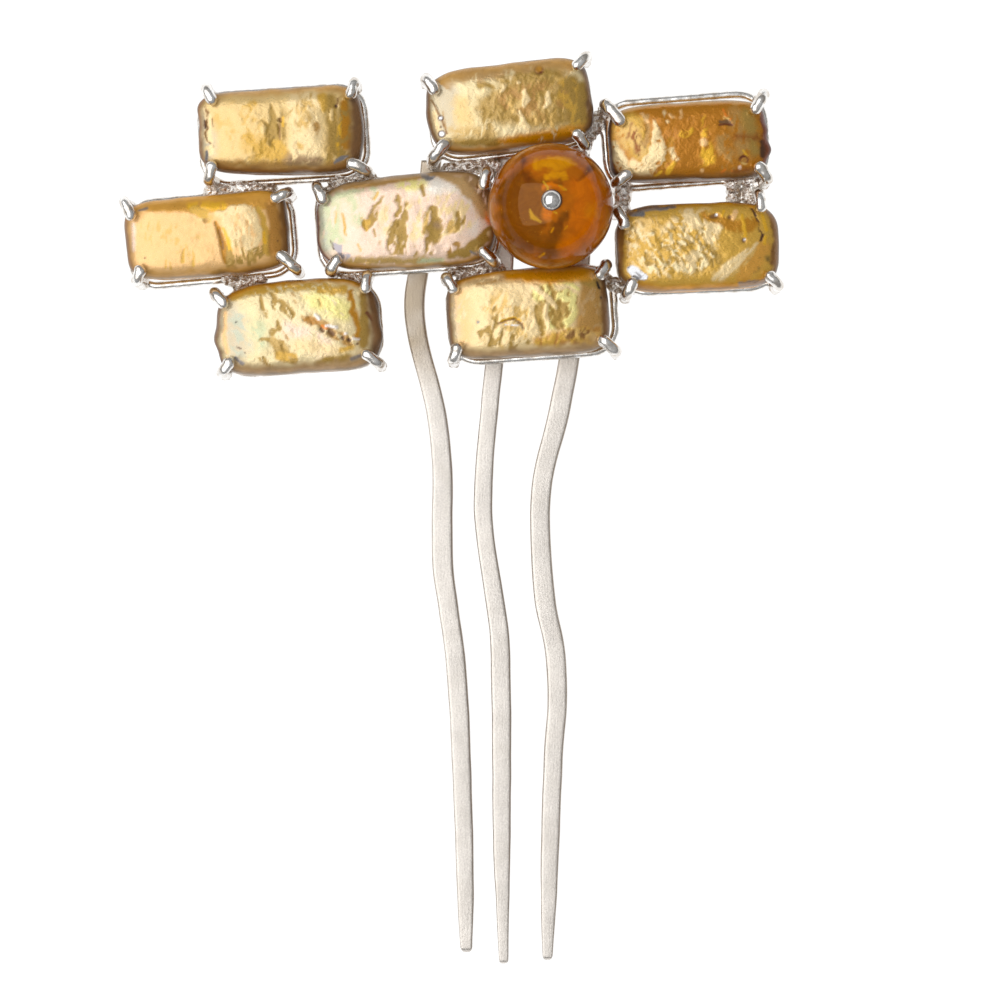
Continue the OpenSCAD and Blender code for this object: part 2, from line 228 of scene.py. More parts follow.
def new_piece(name, points, faces, material, slot, replaced, **values):
    """Piece from points in mm that stands for a solid, with a value or a colour at each point."""
    mesh = bpy.data.meshes.new(name)
    mesh.from_pydata((np.asarray(points, float) * MM).tolist(), [], faces)
    mesh.validate()
    mesh.polygons.foreach_set("use_smooth", [True] * len(mesh.polygons))
    mesh.materials.append(material)
    for key, value in values.items():
        if np.ndim(value) == 2:
            layer = mesh.color_attributes.new(key, "FLOAT_COLOR", "POINT")
            layer.data.foreach_set("color", np.c_[value, np.ones(len(value))].ravel())
        else:
            layer = mesh.attributes.new(key, "FLOAT", "POINT")
            layer.data.foreach_set("value", np.asarray(value, np.float32))
    obj = placed(name, mesh)
    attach(obj, "root")
    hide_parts(replaced)


class Nodes:
    """Shorthand for a material's nodes: sockets take a value or another node's output."""

    def __init__(self, name):
        self.material = bpy.data.materials.new(name)
        self.material.use_nodes = True
        self.tree = self.material.node_tree

    def put(self, node, sockets):
        for socket, value in sockets.items():
            if isinstance(value, bpy.types.NodeSocket):
                self.tree.links.new(value, node.inputs[socket])
            else:
                node.inputs[socket].default_value = value

    def add(self, kind, output, sockets=(), **settings):
        """One of the outputs of a new node."""
        node = self.tree.nodes.new("ShaderNode" + kind)
        for name, value in settings.items():
            setattr(node, name, value)
        self.put(node, dict(sockets))
        return node.outputs[output]

    def shaded(self, sockets):
        """The material, with these sockets of its shader set."""
        self.put(self.tree.nodes["Principled BSDF"], sockets)
        return self.material

    def noise(self, scale, detail, roughness=0.5, stretch=(1, 1, 1), distortion=0.0):
        """Noise in the object's own space, with the scale in cells per mm."""
        place = self.add("Mapping", "Vector", {"Vector": self.add("TexCoord", "Object"),
                                               "Scale": [s / MM for s in stretch]})
        return self.add("TexNoise", "Fac", {"Vector": place, "Scale": scale, "Detail": detail,
                                            "Roughness": roughness, "Distortion": distortion})

    def value(self, name, output="Fac"):
        return self.add("Attribute", output, attribute_name=name)

    def span(self, value, low, high, new_low=0.0, new_high=1.0):
        return self.add("MapRange", "Result", {"Value": value, "From Min": low, "From Max": high,
                                               "To Min": new_low, "To Max": new_high})

    def maths(self, operation, a, b):
        return self.add("Math", 0, {0: a, 1: b}, operation=operation)

    def mix(self, factor, a, b, blend="MIX"):
        a, b = [(*c, 1) if isinstance(c, tuple) else c for c in (a, b)]
        return self.add("Mix", 2, {0: factor, 6: a, 7: b}, data_type="RGBA", blend_type=blend)

    def bump(self, height, distance, **normal):
        """Relief of a distance in mm, on top of another one where that is given as Normal."""
        return self.add("Bump", "Normal", {"Height": height, "Distance": distance * MM, **normal})


# ------------------------------------------------------------------ materials
def pearl_material():
    n = Nodes("golden nacre")
    rim, metal = n.value("rim"), n.maths("MULTIPLY", n.value("metal"), 0.9)
    cloud, fine = n.noise(1.1, 4, 0.6), n.noise(4, 3, 0.6)
    shade = n.mix(n.span(cloud, 0.35, 0.7, 0.0, 0.25), n.value("tint", "Color"), (0.84, 0.72, 0.52),
                  "MULTIPLY")
    waves = n.maths("MULTIPLY", n.noise(1.5, 1, 0.45, distortion=0.8), n.value("skin"))
    return n.shaded({
        "Base Color": n.mix(n.span(fine, 0.42, 0.7, 0.0, 0.2), shade, (0.88, 0.8, 0.66), "MULTIPLY"),
        "Metallic": n.maths("MAXIMUM", n.span(rim, 0, 1, 0.38, 0.12), metal),
        "Roughness": n.maths("ADD", n.span(fine, 0.3, 0.7, 0.25, 0.33), n.span(rim, 0, 1, 0.0, 0.16)),
        "Coat Weight": 0.25, "Coat Roughness": 0.08, "IOR": 1.5,
        "Normal": n.bump(n.noise(3.2, 1, 0.5), 0.007, Normal=n.bump(waves, 0.07))})


def wire_material():
    n = Nodes("polished silver wire")
    rough, grain = n.value("rough"), n.noise(1.7, 3, 0.6)
    scratch = n.noise(2.5, 3, 0.6, stretch=(1, 1, 3))
    # Solder colour follows the grain that also raises its bumps: near-white on the raised parts, a painted
    # highlight, and dark brown in the hollows, partly tarnish and partly painted shade
    pitted = n.mix(n.span(grain, 0.41, 0.52), (0.42, 0.31, 0.21), (1.0, 0.97, 0.92))
    clean = n.mix(n.span(n.noise(1.1, 3, 0.6), 0.42, 0.62), (0.95, 0.935, 0.91), (0.68, 0.62, 0.55))
    return n.shaded({
        "Base Color": n.mix(rough, clean, pitted), "Metallic": n.span(rough, 0, 1, 1.0, 0.72),
        "Roughness": n.maths("ADD", n.span(rough, 0, 1, 0.21, 0.27), n.span(scratch, 0.4, 0.8, 0.0, 0.14)),
        "Normal": n.bump(n.maths("MULTIPLY", grain, n.span(rough, 0, 1, 0.03, 1.0)), 0.3)})


def tine_material():
    n = Nodes("satin silver")
    speck = n.noise(4.5, 4, 0.7)
    colour = n.mix(n.span(speck, 0.35, 0.7), (0.67, 0.625, 0.575), (0.89, 0.835, 0.775))
    colour = n.mix(n.span(n.noise(0.35, 3, 0.6), 0.45, 0.7, 0.0, 0.5), colour, (0.66, 0.61, 0.55))
    # Painted shadow where a tine comes out from below the ornament
    colour = n.mix(n.value("shade"), colour, (0.44, 0.35, 0.24))
    brush = n.noise(5.0, 3, 0.6, stretch=(1, 0.12, 1))
    return n.shaded({
        # Painted shade along the tine's edges
        "Base Color": n.mix(n.value("edge"), colour, (0.34, 0.25, 0.17)), "Metallic": 0.85,
        "Roughness": n.span(speck, 0.3, 0.7, 0.34, 0.48),
        "Normal": n.bump(brush, 0.015, Normal=n.bump(speck, 0.03))})


def polished_material():
    n = Nodes("polished silver")
    colour = n.mix(n.span(n.noise(3, 3), 0.4, 0.65), (0.9, 0.89, 0.87), (0.66, 0.64, 0.62))
    return n.shaded({
        # The edge value darkens the rim of the pin's head: painted shade
        "Base Color": n.mix(n.value("edge"), colour, (0.12, 0.1, 0.08)), "Metallic": 1.0,
        "Roughness": n.span(n.noise(4, 2), 0.3, 0.7, 0.12, 0.24), "Normal": n.bump(n.noise(1.4, 2), 0.05)})


def amber_material():
    n = Nodes("clear amber")
    swirl, fleck = n.noise(0.5, 5, 0.65, distortion=1.6), n.noise(2.2, 3, 0.6, distortion=0.8)
    tint, edge = n.value("tint", "Color"), n.value("edge")
    colour = n.mix(n.span(swirl, 0.4, 0.62, 0.0, 0.45), tint, (0.66, 0.52, 0.4), "MULTIPLY")
    return n.shaded({
        "Base Color": n.mix(n.span(fleck, 0.66, 0.74, 0.0, 0.4), colour, (1.0, 0.5, 0.05)),
        "Roughness": n.span(edge, 0, 1, 0.04, 0.09), "IOR": 1.42, "Specular IOR Level": 0.8,
        "Specular Tint": n.mix(edge, (1.0, 0.6, 0.3), (0.04, 0.03, 0.02)), "Transmission Weight": 0.28})


def floor_material():
    return Nodes("white table").shaded({
        "Base Color": (0.12, 0.12, 0.12, 1), "Roughness": 0.7,
        "Emission Color": (1, 1, 1, 1), "Emission Strength": 0.98})


# ------------------------------------------------------------------ pearls
# Named colours of the strokes; where they are laid, some of them are painted light and shade, as the tables
# of strokes tell
COLOURS = {name: linear([float(part) for part in rgb]) for name, *rgb in (row.split() for row in """
cream .99 .88 .66, peach .99 .8 .54, pale .97 .89 .69, lemon .98 .93 .6, pink 1 .88 .79,
white .96 .93 .9, green .83 .85 .68, gold .86 .68 .27, amber .77 .53 .07, honey .96 .74 .16,
olive .7 .56 .25, tan .75 .57 .29, sand .9 .74 .42, brown .56 .39 .18, dark .34 .21 .11,
black .1 .06 .03, rust .44 .2 .06, orange .94 .52 .08, grey .54 .53 .54, silver .93 .94 .96,
moss .55 .44 .19, cognac .84 .47 .03, umber .6 .34 .02, flame 1 .54 .01, resin 1 .68 .02,
soot .5 .24 .02, spark 1 .6 .02, mist .85 .79 .67, haze .79 .8 .71, shell 1 .97 .92, clay .8 .65 .43,
ochre .87 .64 .25, lilac .72 .69 .72, chip .8 .81 .83, butter .94 .81 .55, ember .87 .6 .02,
straw .83 .69 .41, copper .76 .49 .02, toffee .76 .54 .22, taupe .66 .53 .36, bark .49 .35 .2
""".split(","))}
# Colours that are bare metal or mirror like it, and how much; silver also paints highlights in the pearls'
# pits
METAL = {"grey": 0.6, "silver": 1.0, "lilac": 0.5, "chip": 0.9}

# Rim of each pearl at its top, right end, bottom and left end: colour and width in pixels. The bands are
# partly the nacre's own brown edge and partly painted shade where the crown curves down away from the light
RIMS = """
tan 9 bark 12 brown 6 brown 6
ochre 9 brown 9 tan 8 brown 7
amber 6 bark 13 taupe 11 bark 6
taupe 7 brown 8 tan 5 rust 4
tan 13 bark 8 toffee 5 bark 6
tan 5 rust 6 brown 6 dark 5
amber 6 bark 8 taupe 9 bark 6
amber 5 brown 7 amber 7 brown 7
"""
GROUND = "butter peach pale pink pale copper cream gold".split()
# Flecks of each pearl: pixels across, pixels along, lean of the long side from upright
GRAIN = [(6, 9, 5), (2.6, 9, 0), (3.2, 8, -35), (4, 10, 15), (4.5, 9, 8), (5, 8, 8), (3.6, 9, 18),
         (3.6, 7, -35)]
# How uneven the skin of each pearl is
SKIN = [0.7, 0.4, 0.8, 0.25, 0.9, 1.0, 0.7, 1.0]
# Share of the strokes' depths that the meshes take; heights in mm of waves, flecks and the uneven
# outline; how far the edges of flecks curl; pixels and height of a stroke's wobble
RELIEF, WAVE, FLECK, SWELL, CURL, WOBBLE_PX, WOBBLE = 0.55, 0.12, 0.055, 0.2, 1.1, 8, 2.6
# Places where an outline stands proud: pearl, x, y and reach in pixels, mm
KNOBS = [
    (1, 199, 108, 8, 0.12), (1, 363, 130, 24, 0.3), (3, 218, 339, 9, 0.42), (3, 380, 335, 9, 0.3),
    (4, 492, 215, 14, 0.2), (5, 427, 118, 16, 0.35), (6, 771, 149, 8, 0.75), (6, 766, 130, 6, 0.25)]

# Strokes on the pearls, with a blank line between pearls: colour, or light/dark for a hammered patch; depth
# in hundredths of a mm, softness, wobble, and the percentage that the flecks keep if not all; then x, y and
# radius of its points, in pixels of the photograph. The strokes are partly the nacre's own colour and partly
# painted light: cream, pale, mist and lemon are a painted reflection of the light panel on faces that look
# up, olive, tan and brown painted shade on faces that lean away, the light/dark pairs painted sheen and shade
# on the facets of a hammered patch, and white and silver dots in and beside pits painted highlights
STROKES = """
mist 0 9 3: 206 112 8, 207 152 8
butter/sand 10 8 4 62: 215 108 12, 240 125 22, 255 150 18
sand/gold 12 4 4 50: 250 142 9, 275 150 14, 262 158 10
gold 3 3 4 50: 251 103 3, 251 118 4
olive 10 1.2 2.4: 271 103 .8, 273 118 3.4, 274 132 6, 275 142 6
olive 10 1 1.6: 263 121 1.2, 269 128 5, 272 140 6
olive 3 3 4 85: 283 112 1.4, 284 132 3.4, 283 150 6, 282 163 6
gold 5 3 4 62: 266 145 9, 280 155 10
cream -3 4 2.4: 306 100 14, 306 150 16
cream/straw 4 4 3 72: 302 104 14, 306 128 12
sand 2 3 3 60: 303 106 5, 304 121 5
tan 2 2 2 60: 316 124 3, 316 132 3
sand 2 2 2 70: 300 146 4
gold 2 2 2: 322 97 5, 325 108 4
olive 5 3 2 90: 331 98 5, 334 130 7, 333 164 8, 342 164 8, 345 130 6, 344 100 5
amber 0 2 2 70: 344 104 4, 346 145 5
honey -4 1.6 2 65: 341 108 1.6, 339 135 1.6, 337 158 1.2
brown 0 4 2: 354 105 3, 355 150 5
bark 0 4 2: 361 108 5, 363 150 6
taupe 0 3 2 70: 366 112 3, 369 140 3
tan 0 4 3: 215 164 4, 262 166 4, 300 166 3, 345 165 4
taupe 0 4 3 85: 290 161 6, 318 162 5
brown 25 .9 .4: 280 120 2.2
brown 12 .7 .8: 279 124 .8, 280 139 .7
honey 0 .8 .5: 283 117 .8, 283 126 .8
dark 30 .9 .4: 336 106 1.8
brown 10 .7 .6: 338 98 .8, 337 104 .8
cream 0 1.6 2.4 85: 208 118 3, 209 152 4
brown 10 .6 3 90: 206 106 .8, 210 114 .8, 205 124 1, 207 140 .8, 213 146 .7
dark 12 .6 1: 205 121 1, 206 128 1
brown 8 .5 1.4: 213 118 .5, 214 128 .5
grey 0 1 1: 206 152 1.4, 207 163 2
grey 0 .9 .9: 335 163 1.4, 342 158 2.4, 347 156 1.2

sand 0 5 4 25: 150 230 12, 200 250 14
ochre 0 2 2: 150 206 5, 205 204 8, 262 200 9
honey 0 2 3 80: 190 207 3.5, 222 205 5
gold 4 1.4 2: 194 209 4, 204 214 5, 208 219 3.5
tan 5 1.2 .8: 206 221 2.6
butter -4 1.2 .8: 201 220 2
sand 0 2 2: 211 218 3
cream -6 1.4 3 97: 221 214 5, 246 213 9, 252 233 12, 250 247 9, 236 238 7, 226 222 6
cream/peach 0 3 4 60: 240 222 10, 246 240 10
amber 14 1 1: 216 222 1.4, 221 235 3, 224 248 3.4, 227 262 3
brown 3 1 .9 90: 219 230 .8, 223 248 1.3
honey 0 1.2 1.2: 223 228 1.2, 227 238 2, 230 250 2.4
olive 5 1.1 2.4 85: 230 248 3, 232 266 5
olive 2 1 1 90: 236 240 .9, 237 246 1.1
olive 3 1 1.2: 243 248 .9, 245 258 1.8
olive 4 1 1.2: 249 255 1.4, 250 264 2.4
olive 5 1.4 4 70: 233 262 4, 244 259 5, 258 255 5, 268 250 6
gold 5 1.4 1.8: 259 208 2.4, 264 222 3, 268 238 4, 268 252 4
honey 0 1 1: 263 232 1.4, 265 242 1.8
moss 3 1.5 1.5 80: 270 236 2, 271 255 2.4
toffee 0 2.4 2: 271 203 6, 276 225 7, 277 255 7
bark 3 2 2 80: 286 212 3, 289 230 3, 287 250 3
gold 4 .9 1: 184 249 .9, 182 262 1.9
gold 4 .9 1: 193 253 .8, 194 266 1.6
gold 3 .8 1: 166 260 .6, 166 268 .9
gold 3 .8 1: 171 262 .6, 171 269 .8
pink 0 2 1: 133 225 1.8, 134 250 1.8
grey 0 1 1: 139 210 1.4, 146 208 1.8
dark 10 .6 0: 145 258 .9
dark 10 .6 0: 278 241 .8

mist 0 10 4: 230 318 14, 236 346 13
haze 0 7 4 60: 238 322 11, 240 346 10
green 0 6 4 80: 258 325 6, 262 345 6
pink 0 8 4 90: 290 330 9, 320 345 10
lemon 0 6 4 85: 315 300 10, 343 310 12
cream 0 5 3: 300 345 8, 335 350 6
peach 0 2 1: 226 312 1.8, 224 335 1.8, 228 352 1.8
gold 2 2.4 3 90: 235 295 4, 262 289 5, 300 286 4, 345 289 4
olive 6 1 2 90: 262 296 2, 264 310 2.2
olive 7 1 3 80: 272 293 2, 276 303 3, 275 308 2
olive 8 1 3 90: 281 302 3, 290 314 4.4
tan 5 .9 2 80: 292 292 1.2, 296 303 1.2
sand 5 .9 2 80: 297 291 1, 302 297 1
sand 5 .9 1 80: 320 298 1, 321 306 1
gold 6 1 2 70: 322 290 4, 332 292 4
olive 6 .9 3 80: 266 310 1.6, 267 317 1.6
olive 6 .9 3 80: 277 320 2, 280 330 2, 272 333 2
tan 5 .9 2 90: 283 332 .9, 287 339 .9
olive 6 .9 3 90: 260 340 1, 270 339 3, 282 342 3.4, 288 354 3
straw/olive 7 2 4 50: 274 342 4, 282 350 8, 290 358 6
gold 6 1.2 2 70: 280 356 5, 293 358 4
olive 4 1 2 80: 262 358 3, 272 366 3
amber 4 1.4 3: 350 292 2.4, 353 312 3, 359 330 3.4, 360 342 3.4
olive 0 2 2: 362 296 4, 366 330 5, 363 345 4
bark 0 3 2: 375 300 5, 378 345 5
taupe 0 2 2 60: 378 310 3, 381 345 3
rust 6 .9 1: 367 313 2, 371 320 1.5
gold 0 2 2 85: 352 347 3, 342 350 3
olive 0 3 2: 347 358 5, 320 362 4
tan 5 2 3 85: 302 316 2, 318 322 4, 334 333 5, 350 342 4
toffee 10 1 3 90: 304 317 1.4, 311 320 3, 318 322 2.4
bark 20 .9 1: 321 329 1.8, 323 331 1.8
bark 22 .9 1: 330 332 2.4, 333 334 2.4
bark 20 .8 1: 342 337 1.8, 343 338 1.6
dark 22 .8 1: 349 340 1.9, 350 341 1.6
bark 16 .8 1: 357 344 1.5
orange 2 .9 1: 322 325 1.2, 327 328 1.2
white -12 .8 1.4: 315 315 1.5, 319 318 1.8
white -12 .8 1: 326 326 1.4, 337 327 1.8
white -12 .8 1: 346 334 1.7
white -12 .8 1: 353 338 1.3, 359 340 1.1
black 10 .6 0: 236 322 1
dark 8 .5 .5: 237 347 .6, 241 349 .7
dark 8 .5 .4: 245 353 .7
grey 0 1 1: 236 358 1.5, 243 363 2
grey 0 1 1: 352 360 2, 360 356 2

haze 0 9 4 80: 320 205 8, 326 245 8
green 0 6 4 85: 332 205 9, 334 238 9
green 0 4 4 80: 330 196 4, 372 189 4
green 0 6 4 70: 352 200 6, 356 220 6
shell -2 8 4: 440 190 14, 462 198 12, 474 226 8, 420 196 8
lemon 0 5 3 90: 405 185 8, 420 182 6
pink/cream 1.5 6 4 66: 400 220 20, 450 215 24
gold 3 .9 1.4: 342 213 .9, 345 225 1.2, 346 235 .8
sand 3 .9 1: 336 211 .8, 336 224 .8
olive 9 1.3 3.4 92: 382 196 1.4, 377 206 2.4, 374 216 4, 366 225 4
gold 5 .9 2 90: 368 222 3, 362 220 2, 366 229 2
sand 5 .9 1.4 90: 378 192 1.5, 374 198 1.5
olive 5 .9 1.4 90: 373 230 1.2, 375 236 1
olive 5 .9 1.4 90: 379 236 1.4, 380 244 1.2
sand 3 .9 1 90: 358 244 1, 361 250 1
olive 8 1.3 3.4 85: 399 194 1.5, 399 210 3, 396 225 4, 392 240 4, 391 252 2.5
olive 7 1.3 3.4 85: 408 202 2, 404 215 3, 402 232 5, 403 246 4
sand 3 1.4 2 80: 427 215 3, 424 232 3
olive 10 1.3 3.4 92: 432 210 5, 436 222 7, 433 236 7, 428 242 4
taupe 4 3 2: 437 225 4
olive 8 1.3 3.4 92: 458 211 2, 461 220 4, 454 229 4
sand 5 1.4 2 80: 452 222 3, 450 230 3
olive 4 .8 1: 465 216 1.1, 464 224 1
olive 5 1 1.4: 422 187 2.2, 424 194 1.8
pink/olive 9 2 3 50: 395 250 6, 420 248 6, 436 250 5
tan 5 .9 1.4 85: 457 245 4, 450 252 3
straw 0 3 3 85: 350 261 4, 440 262 4
green 0 2 2 90: 420 261 2.5, 442 261 2.5
olive 3 2 3: 450 257 3.5, 468 251 6, 484 238 6, 490 228 4
clay 0 2 3: 440 175 3, 462 182 6, 474 198 6, 484 212 6
brown 0 4 2 90: 470 177 5, 482 190 6, 488 205 5
orange 0 2.4 2 55: 484 213 1.4, 489 222 2.4
tan 0 2 1.4: 345 187 2.6, 400 180 3.2, 440 174 2
cream 0 1.6 1: 490 233 3
lilac 4 .9 3 85: 334 243 1.4, 340 250 4, 346 257 3.4
grey 0 .9 2: 424 177 2.4, 430 178 3.4, 433 176 2
grey 0 .8 .8: 471 251 1, 478 255 1
dark 8 .6 .6: 331 241 .6, 334 249 .7

mist 0 10 3: 440 90 12, 446 125 10
mist 0 5 3 90: 452 90 6, 452 108 6
butter 0 6 3 90: 462 105 9, 465 120 9
olive 0 7 5: 494 107 15, 530 102 25, 562 102 24
straw/olive 9 6 5 33: 494 107 15, 530 100 26, 562 100 24
tan 3 6 5 45: 510 100 14, 560 98 20
olive 4 2 3 80: 487 112 5, 488 124 5
olive 4 1.6 2 90: 479 84 3, 492 87 2.6
cream -6 .9 1.8: 501 80 2.4, 504 85 3, 502 90 2
cream -5 .9 1.8: 514 76 2, 518 82 2
cream -8 .9 1.8: 523 91 2, 526 100 4, 524 106 2
cream -7 .9 1.8: 519 112 1.4, 522 122 3.6, 527 128 3
cream -5 .9 1.4: 517 131 2.4
cream -6 .9 1.8: 549 92 1.8, 548 101 2.6, 545 106 2
sand -4 1.4 2 90: 556 75 3, 560 80 4
sand -4 .9 1.6 90: 552 114 1.4, 552 126 1.8
cream -4 .9 1.4: 484 90 1.8
sand -4 .9 1.8 90: 510 96 1.4, 512 110 1.8
sand -4 .9 1.4 90: 535 116 1.4, 537 124 1.4
sand -4 .9 1.4: 547 68 1.4, 552 74 1.8
olive 0 4 3: 572 82 7, 575 118 9
olive 0 3 2: 582 85 5, 584 120 6
gold 0 4 4 55: 566 85 8, 572 118 8
bark 0 2 2 85: 589 90 3, 591 118 4
dark 5 1 2 70: 590 94 2, 592 106 2
clay 0 4 3 80: 450 77 4, 475 76 6, 500 74 7, 530 68 6, 560 64 5
olive 0 4 3 80: 500 80 4, 560 72 5
straw 0 5 3 90: 455 131 4, 492 133 6
olive 0 4 2: 456 142 5, 495 142 6
ember 0 4 2 90: 505 142 5, 540 138 7, 570 134 8, 585 130 6
brown 10 .8 .3: 539 70 4.8
amber -6 .9 .3: 539 69 3.2
rust 10 .7 .2: 541 72 1.1
bark 0 1.6 1: 428 108 2.6, 430 128 2.6
cream 0 1.4 1: 435 112 2, 439 134 2
brown 20 .6 .6: 432 100 .8, 437 108 .9, 443 122 1, 447 134 .9
tan 0 .8 .6 70: 443 112 .5, 446 128 .6
dark 15 .6 .2: 441 118 2.7
silver 6 .6 .2: 441 118 1.6
dark 15 .6 .2: 442 134 3.8
silver 6 .7 .2: 442 133.6 2.5
dark 12 .6 .2: 441 127 1.1
rust 10 .6 .5: 482 67 1, 490 68 1
pink 5 .6 .4: 486 68.6 .9
rust 10 .6 .4: 499 68.4 1.4

pale 2 2.4 3 85: 614 145 4, 617 160 7, 626 171 7
ochre 0 3 2: 614 122 5, 615 138 4
gold 0 6 4: 618 118 8, 634 122 10, 640 150 12
sand 0 4 4 70: 620 132 7, 640 150 9
cream 2 2.4 3 80: 634 166 7, 648 170 7
sand/brown 12 4 5 62: 630 128 5, 635 140 6, 637 150 4
sand/umber 7 3 5 50: 628 126 5, 633 138 6, 638 150 5
tan 5 1.6 3 70: 647 116 3, 648 130 3, 645 144 3
amber 4 1.4 3 90: 670 140 4, 668 158 4, 664 168 2
cream -6 1.1 3.4 97: 656 120 1.2, 657 134 4.4, 657 147 8, 653 160 9, 647 171 7
peach -4 1.6 3 90: 642 115 1.4, 645 121 1.8
cream -4 1.6 3 90: 664 113 1.4, 667 123 1.7
cream -4 1.6 3 90: 671 149 1.8, 675 160 2.3
honey -5 .9 2: 674 163 2.4, 668 173 3
honey -4 .8 1.4: 661 172 1.4, 655 175 1.2
peach -4 1.6 3 90: 671 113 1.4, 677 117 1.3
peach -4 1.6 3 90: 680 111 1.3, 682 118 1.2
copper 0 4 3 60: 695 140 8, 690 160 10
honey -3 1.6 3 70: 684 134 3, 691 130 3
honey -2 4 4 70: 705 150 7, 708 161 6
honey -3 1.6 3 70: 704 118 2.4, 705 135 3
peach -3 1.4 2 80: 704 142 4
peach -3 .9 1: 702 171 1.9
tan 0 4 3 70: 722 140 6, 728 165 8
tan 0 5 3 80: 735 112 5, 745 150 8
olive 0 5 3 90: 745 113 5, 752 130 6, 754 150 5
umber 0 5 2 80: 735 138 2, 760 137 3
umber 0 4 2 70: 735 173 3, 752 171 4
bark 15 .9 2.4: 721 120 2, 730 123 2
sand -5 .7 1.4: 724 118 1.2, 730 120 .9
orange -6 .8 1: 723 109 .9, 727 116 1
orange -6 .8 .8: 731 119 1
rust 10 .8 1: 720 124 1, 733 125 1
honey -6 .6 .4: 743 150 .8, 747 156 1
rust 15 .7 1: 744 160 4.6
toffee -5 .7 1: 744 160 3.2
sand -5 .6 .6: 742 163 1, 746 164 .8
orange -3 .8 1: 722 173 1, 726 170 1
orange -3 .7 .6: 732 171 1
pink 0 1 1: 740 168 1.9
rust 5 1.4 1: 763 116 3, 767 135 4
dark 0 1.4 1: 762 142 2.6, 763 156 2.6
rust 0 1.2 1: 769 140 3, 770 156 3
orange 0 1.6 1: 773 146 2, 774 151 2

mist 0 10 3 70: 456 300 8, 460 330 8
peach 0 10 3 90: 462 295 7, 466 338 7
cream/sand 8 6 4 62: 500 305 14, 520 320 16, 500 338 10
olive 8 1.2 3.4 85: 496 309 3, 493 325 4, 484 334 6, 492 342 6, 504 336 4
cream/olive 8 2 4 50: 500 334 6, 512 342 8, 524 340 5
sand 2 2 3 60: 512 330 5, 520 336 5
tan 4 1.2 1.4: 478 285 1.4, 496 281 1.4
lemon/olive 12 2 4 50: 545 295 12, 555 315 16, 565 300 12
olive 6 1 2 90: 536 305 2, 540 322 3, 543 334 3
olive 8 1.4 2 95: 558 305 5, 558 322 7
olive 5 1 2 90: 549 284 2, 556 300 2
cream -7 1 1.8: 536 287 3.4, 548 299 3, 556 307 2
cream -7 1 1.8: 546 305 2, 546 318 3, 548 329 2
lemon -7 .9 1.4: 558 283 1.5, 571 283 2, 578 289 2
lemon -6 .9 1: 584 294 1.5, 586 299 1.5
lemon -7 .9 1.8: 575 306 2.4, 577 312 3, 570 321 3, 565 323 2
lemon -5 1.2 2 90: 566 298 4
tan 0 4 2: 591 290 11, 589 325 14
clay 0 4 3 30: 592 292 9, 588 325 11
olive 0 2 2: 583 282 4, 595 283 4
gold/toffee 6 3 4 55: 538 342 5, 560 336 8, 592 336 9
sand/brown 4 3 4 60: 566 334 4, 596 338 5
ember 0 4 2: 508 275 5, 550 277 7, 584 274 7
clay 0 4 4 80: 468 283 2.6, 500 278 4
brown 18 .6 .4: 499 323 .9, 508 320 1.2, 515 319 1.3, 522 324 1.2, 524 329 .8
honey -7 .6 .4: 501 321 .8, 514 316.6 .9, 521 321 .8
silver 4 .8 .5 90: 505 324.6 .7, 518 325.5 .8
straw -4 .8 .8: 504 327.4 .8, 519 328.6 .8
sand 5 .7 .5: 485 309 2.3
cream 0 .7 .3: 485 309 1.3
grey 4 .7 .3: 478 322 1.5
brown 0 2 1.4: 603 290 3, 606 335 4
black 10 .9 1: 597 282 1.2, 600 288 1.5
black 8 .8 1: 601 298 1.2

cream/gold 14 5 4 55: 640 235 15, 650 258 19, 684 245 30, 696 225 15
olive 6 3 4 36: 640 232 12, 655 258 16, 690 250 24
pale -4 3 4 36: 640 238 12, 655 258 16, 690 250 26
olive 6 1.6 3 55: 640 248 3, 650 262 4, 668 260 3
sand 0 3 3 60: 655 222 8, 640 225 6
cream -5 1.4 4 80: 690 211 4, 696 225 7, 692 236 7
cream -5 1.6 3 90: 716 228 7, 710 237 6
cream -5 1.6 3 85: 690 255 7, 692 266 6
gold -2 2 4 45: 650 250 12, 690 240 14
ochre 0 5 3: 752 262 10, 745 273 9, 764 248 8
moss 0 3 4 35: 758 262 6, 750 272 5
olive 2 4 3 80: 712 252 7, 714 265 6
amber 2 2 2 80: 705 215 4, 735 226 6, 751 224 7
sand 0 2 3 80: 718 277 6, 736 262 5, 752 249 3
cream -5 1.4 2: 713 279 1.4, 724 269 2.7, 738 257 2.3, 748 249 1
cream -5 1.4 2: 719 281 1.4, 732 270 2.8, 745 257 2.4, 758 244 1
sand 0 1.4 2 80: 728 280 1, 740 269 1.4, 752 256 1
honey -5 .9 1.4: 742 215 1.4, 744 230 1.9, 746 237 1.9
honey -4 .8 1.2: 724 210 1.4, 722 216 1.2
peach -5 .9 1: 735 212 2.6, 733 218 2
brown 20 .9 1: 712 217 1.9, 716 216 2.4
silver 5 .6 .4: 716 214.6 1.3
brown 20 .9 1: 729 217 2.1
brown 20 .8 .5: 744 240 2.5
silver 0 .6 .3: 744.5 239.6 1.2
dark 20 .7 1.4 60: 751 208 1.2, 756 215 1.4, 760 225 1.5, 762 234 1.6
honey -6 .9 1: 761 211 1.4, 764 221 1.8, 767 230 2
dark 14 .6 .8: 763 235 1.7, 761 241 1.2
honey -6 .9 1: 766 236 1.2, 765 243 1.5
brown 0 2 2: 773 215 3.6, 777 240 3.6, 775 262 4
moss 0 2.4 2 70: 767 258 3
grey 0 1 2.4 90: 640 209 2.6, 660 208 2.6, 676 207 1.4
grey 0 .9 1: 631 214 2.4, 642 214 3.4
chip -5 .8 2: 631 269 4, 637 275 5.6, 645 278 3.6
grey 5 .6 1 60: 636 273 1, 641 277 1.4
grey 0 .8 2: 741 284 2.6, 755 283 4.2, 765 281 2.4
brown 0 1.4 1: 622 232 2.6, 621 255 2.6
orange 0 .8 .5: 616.6 228 .8, 616 255 .8
"""
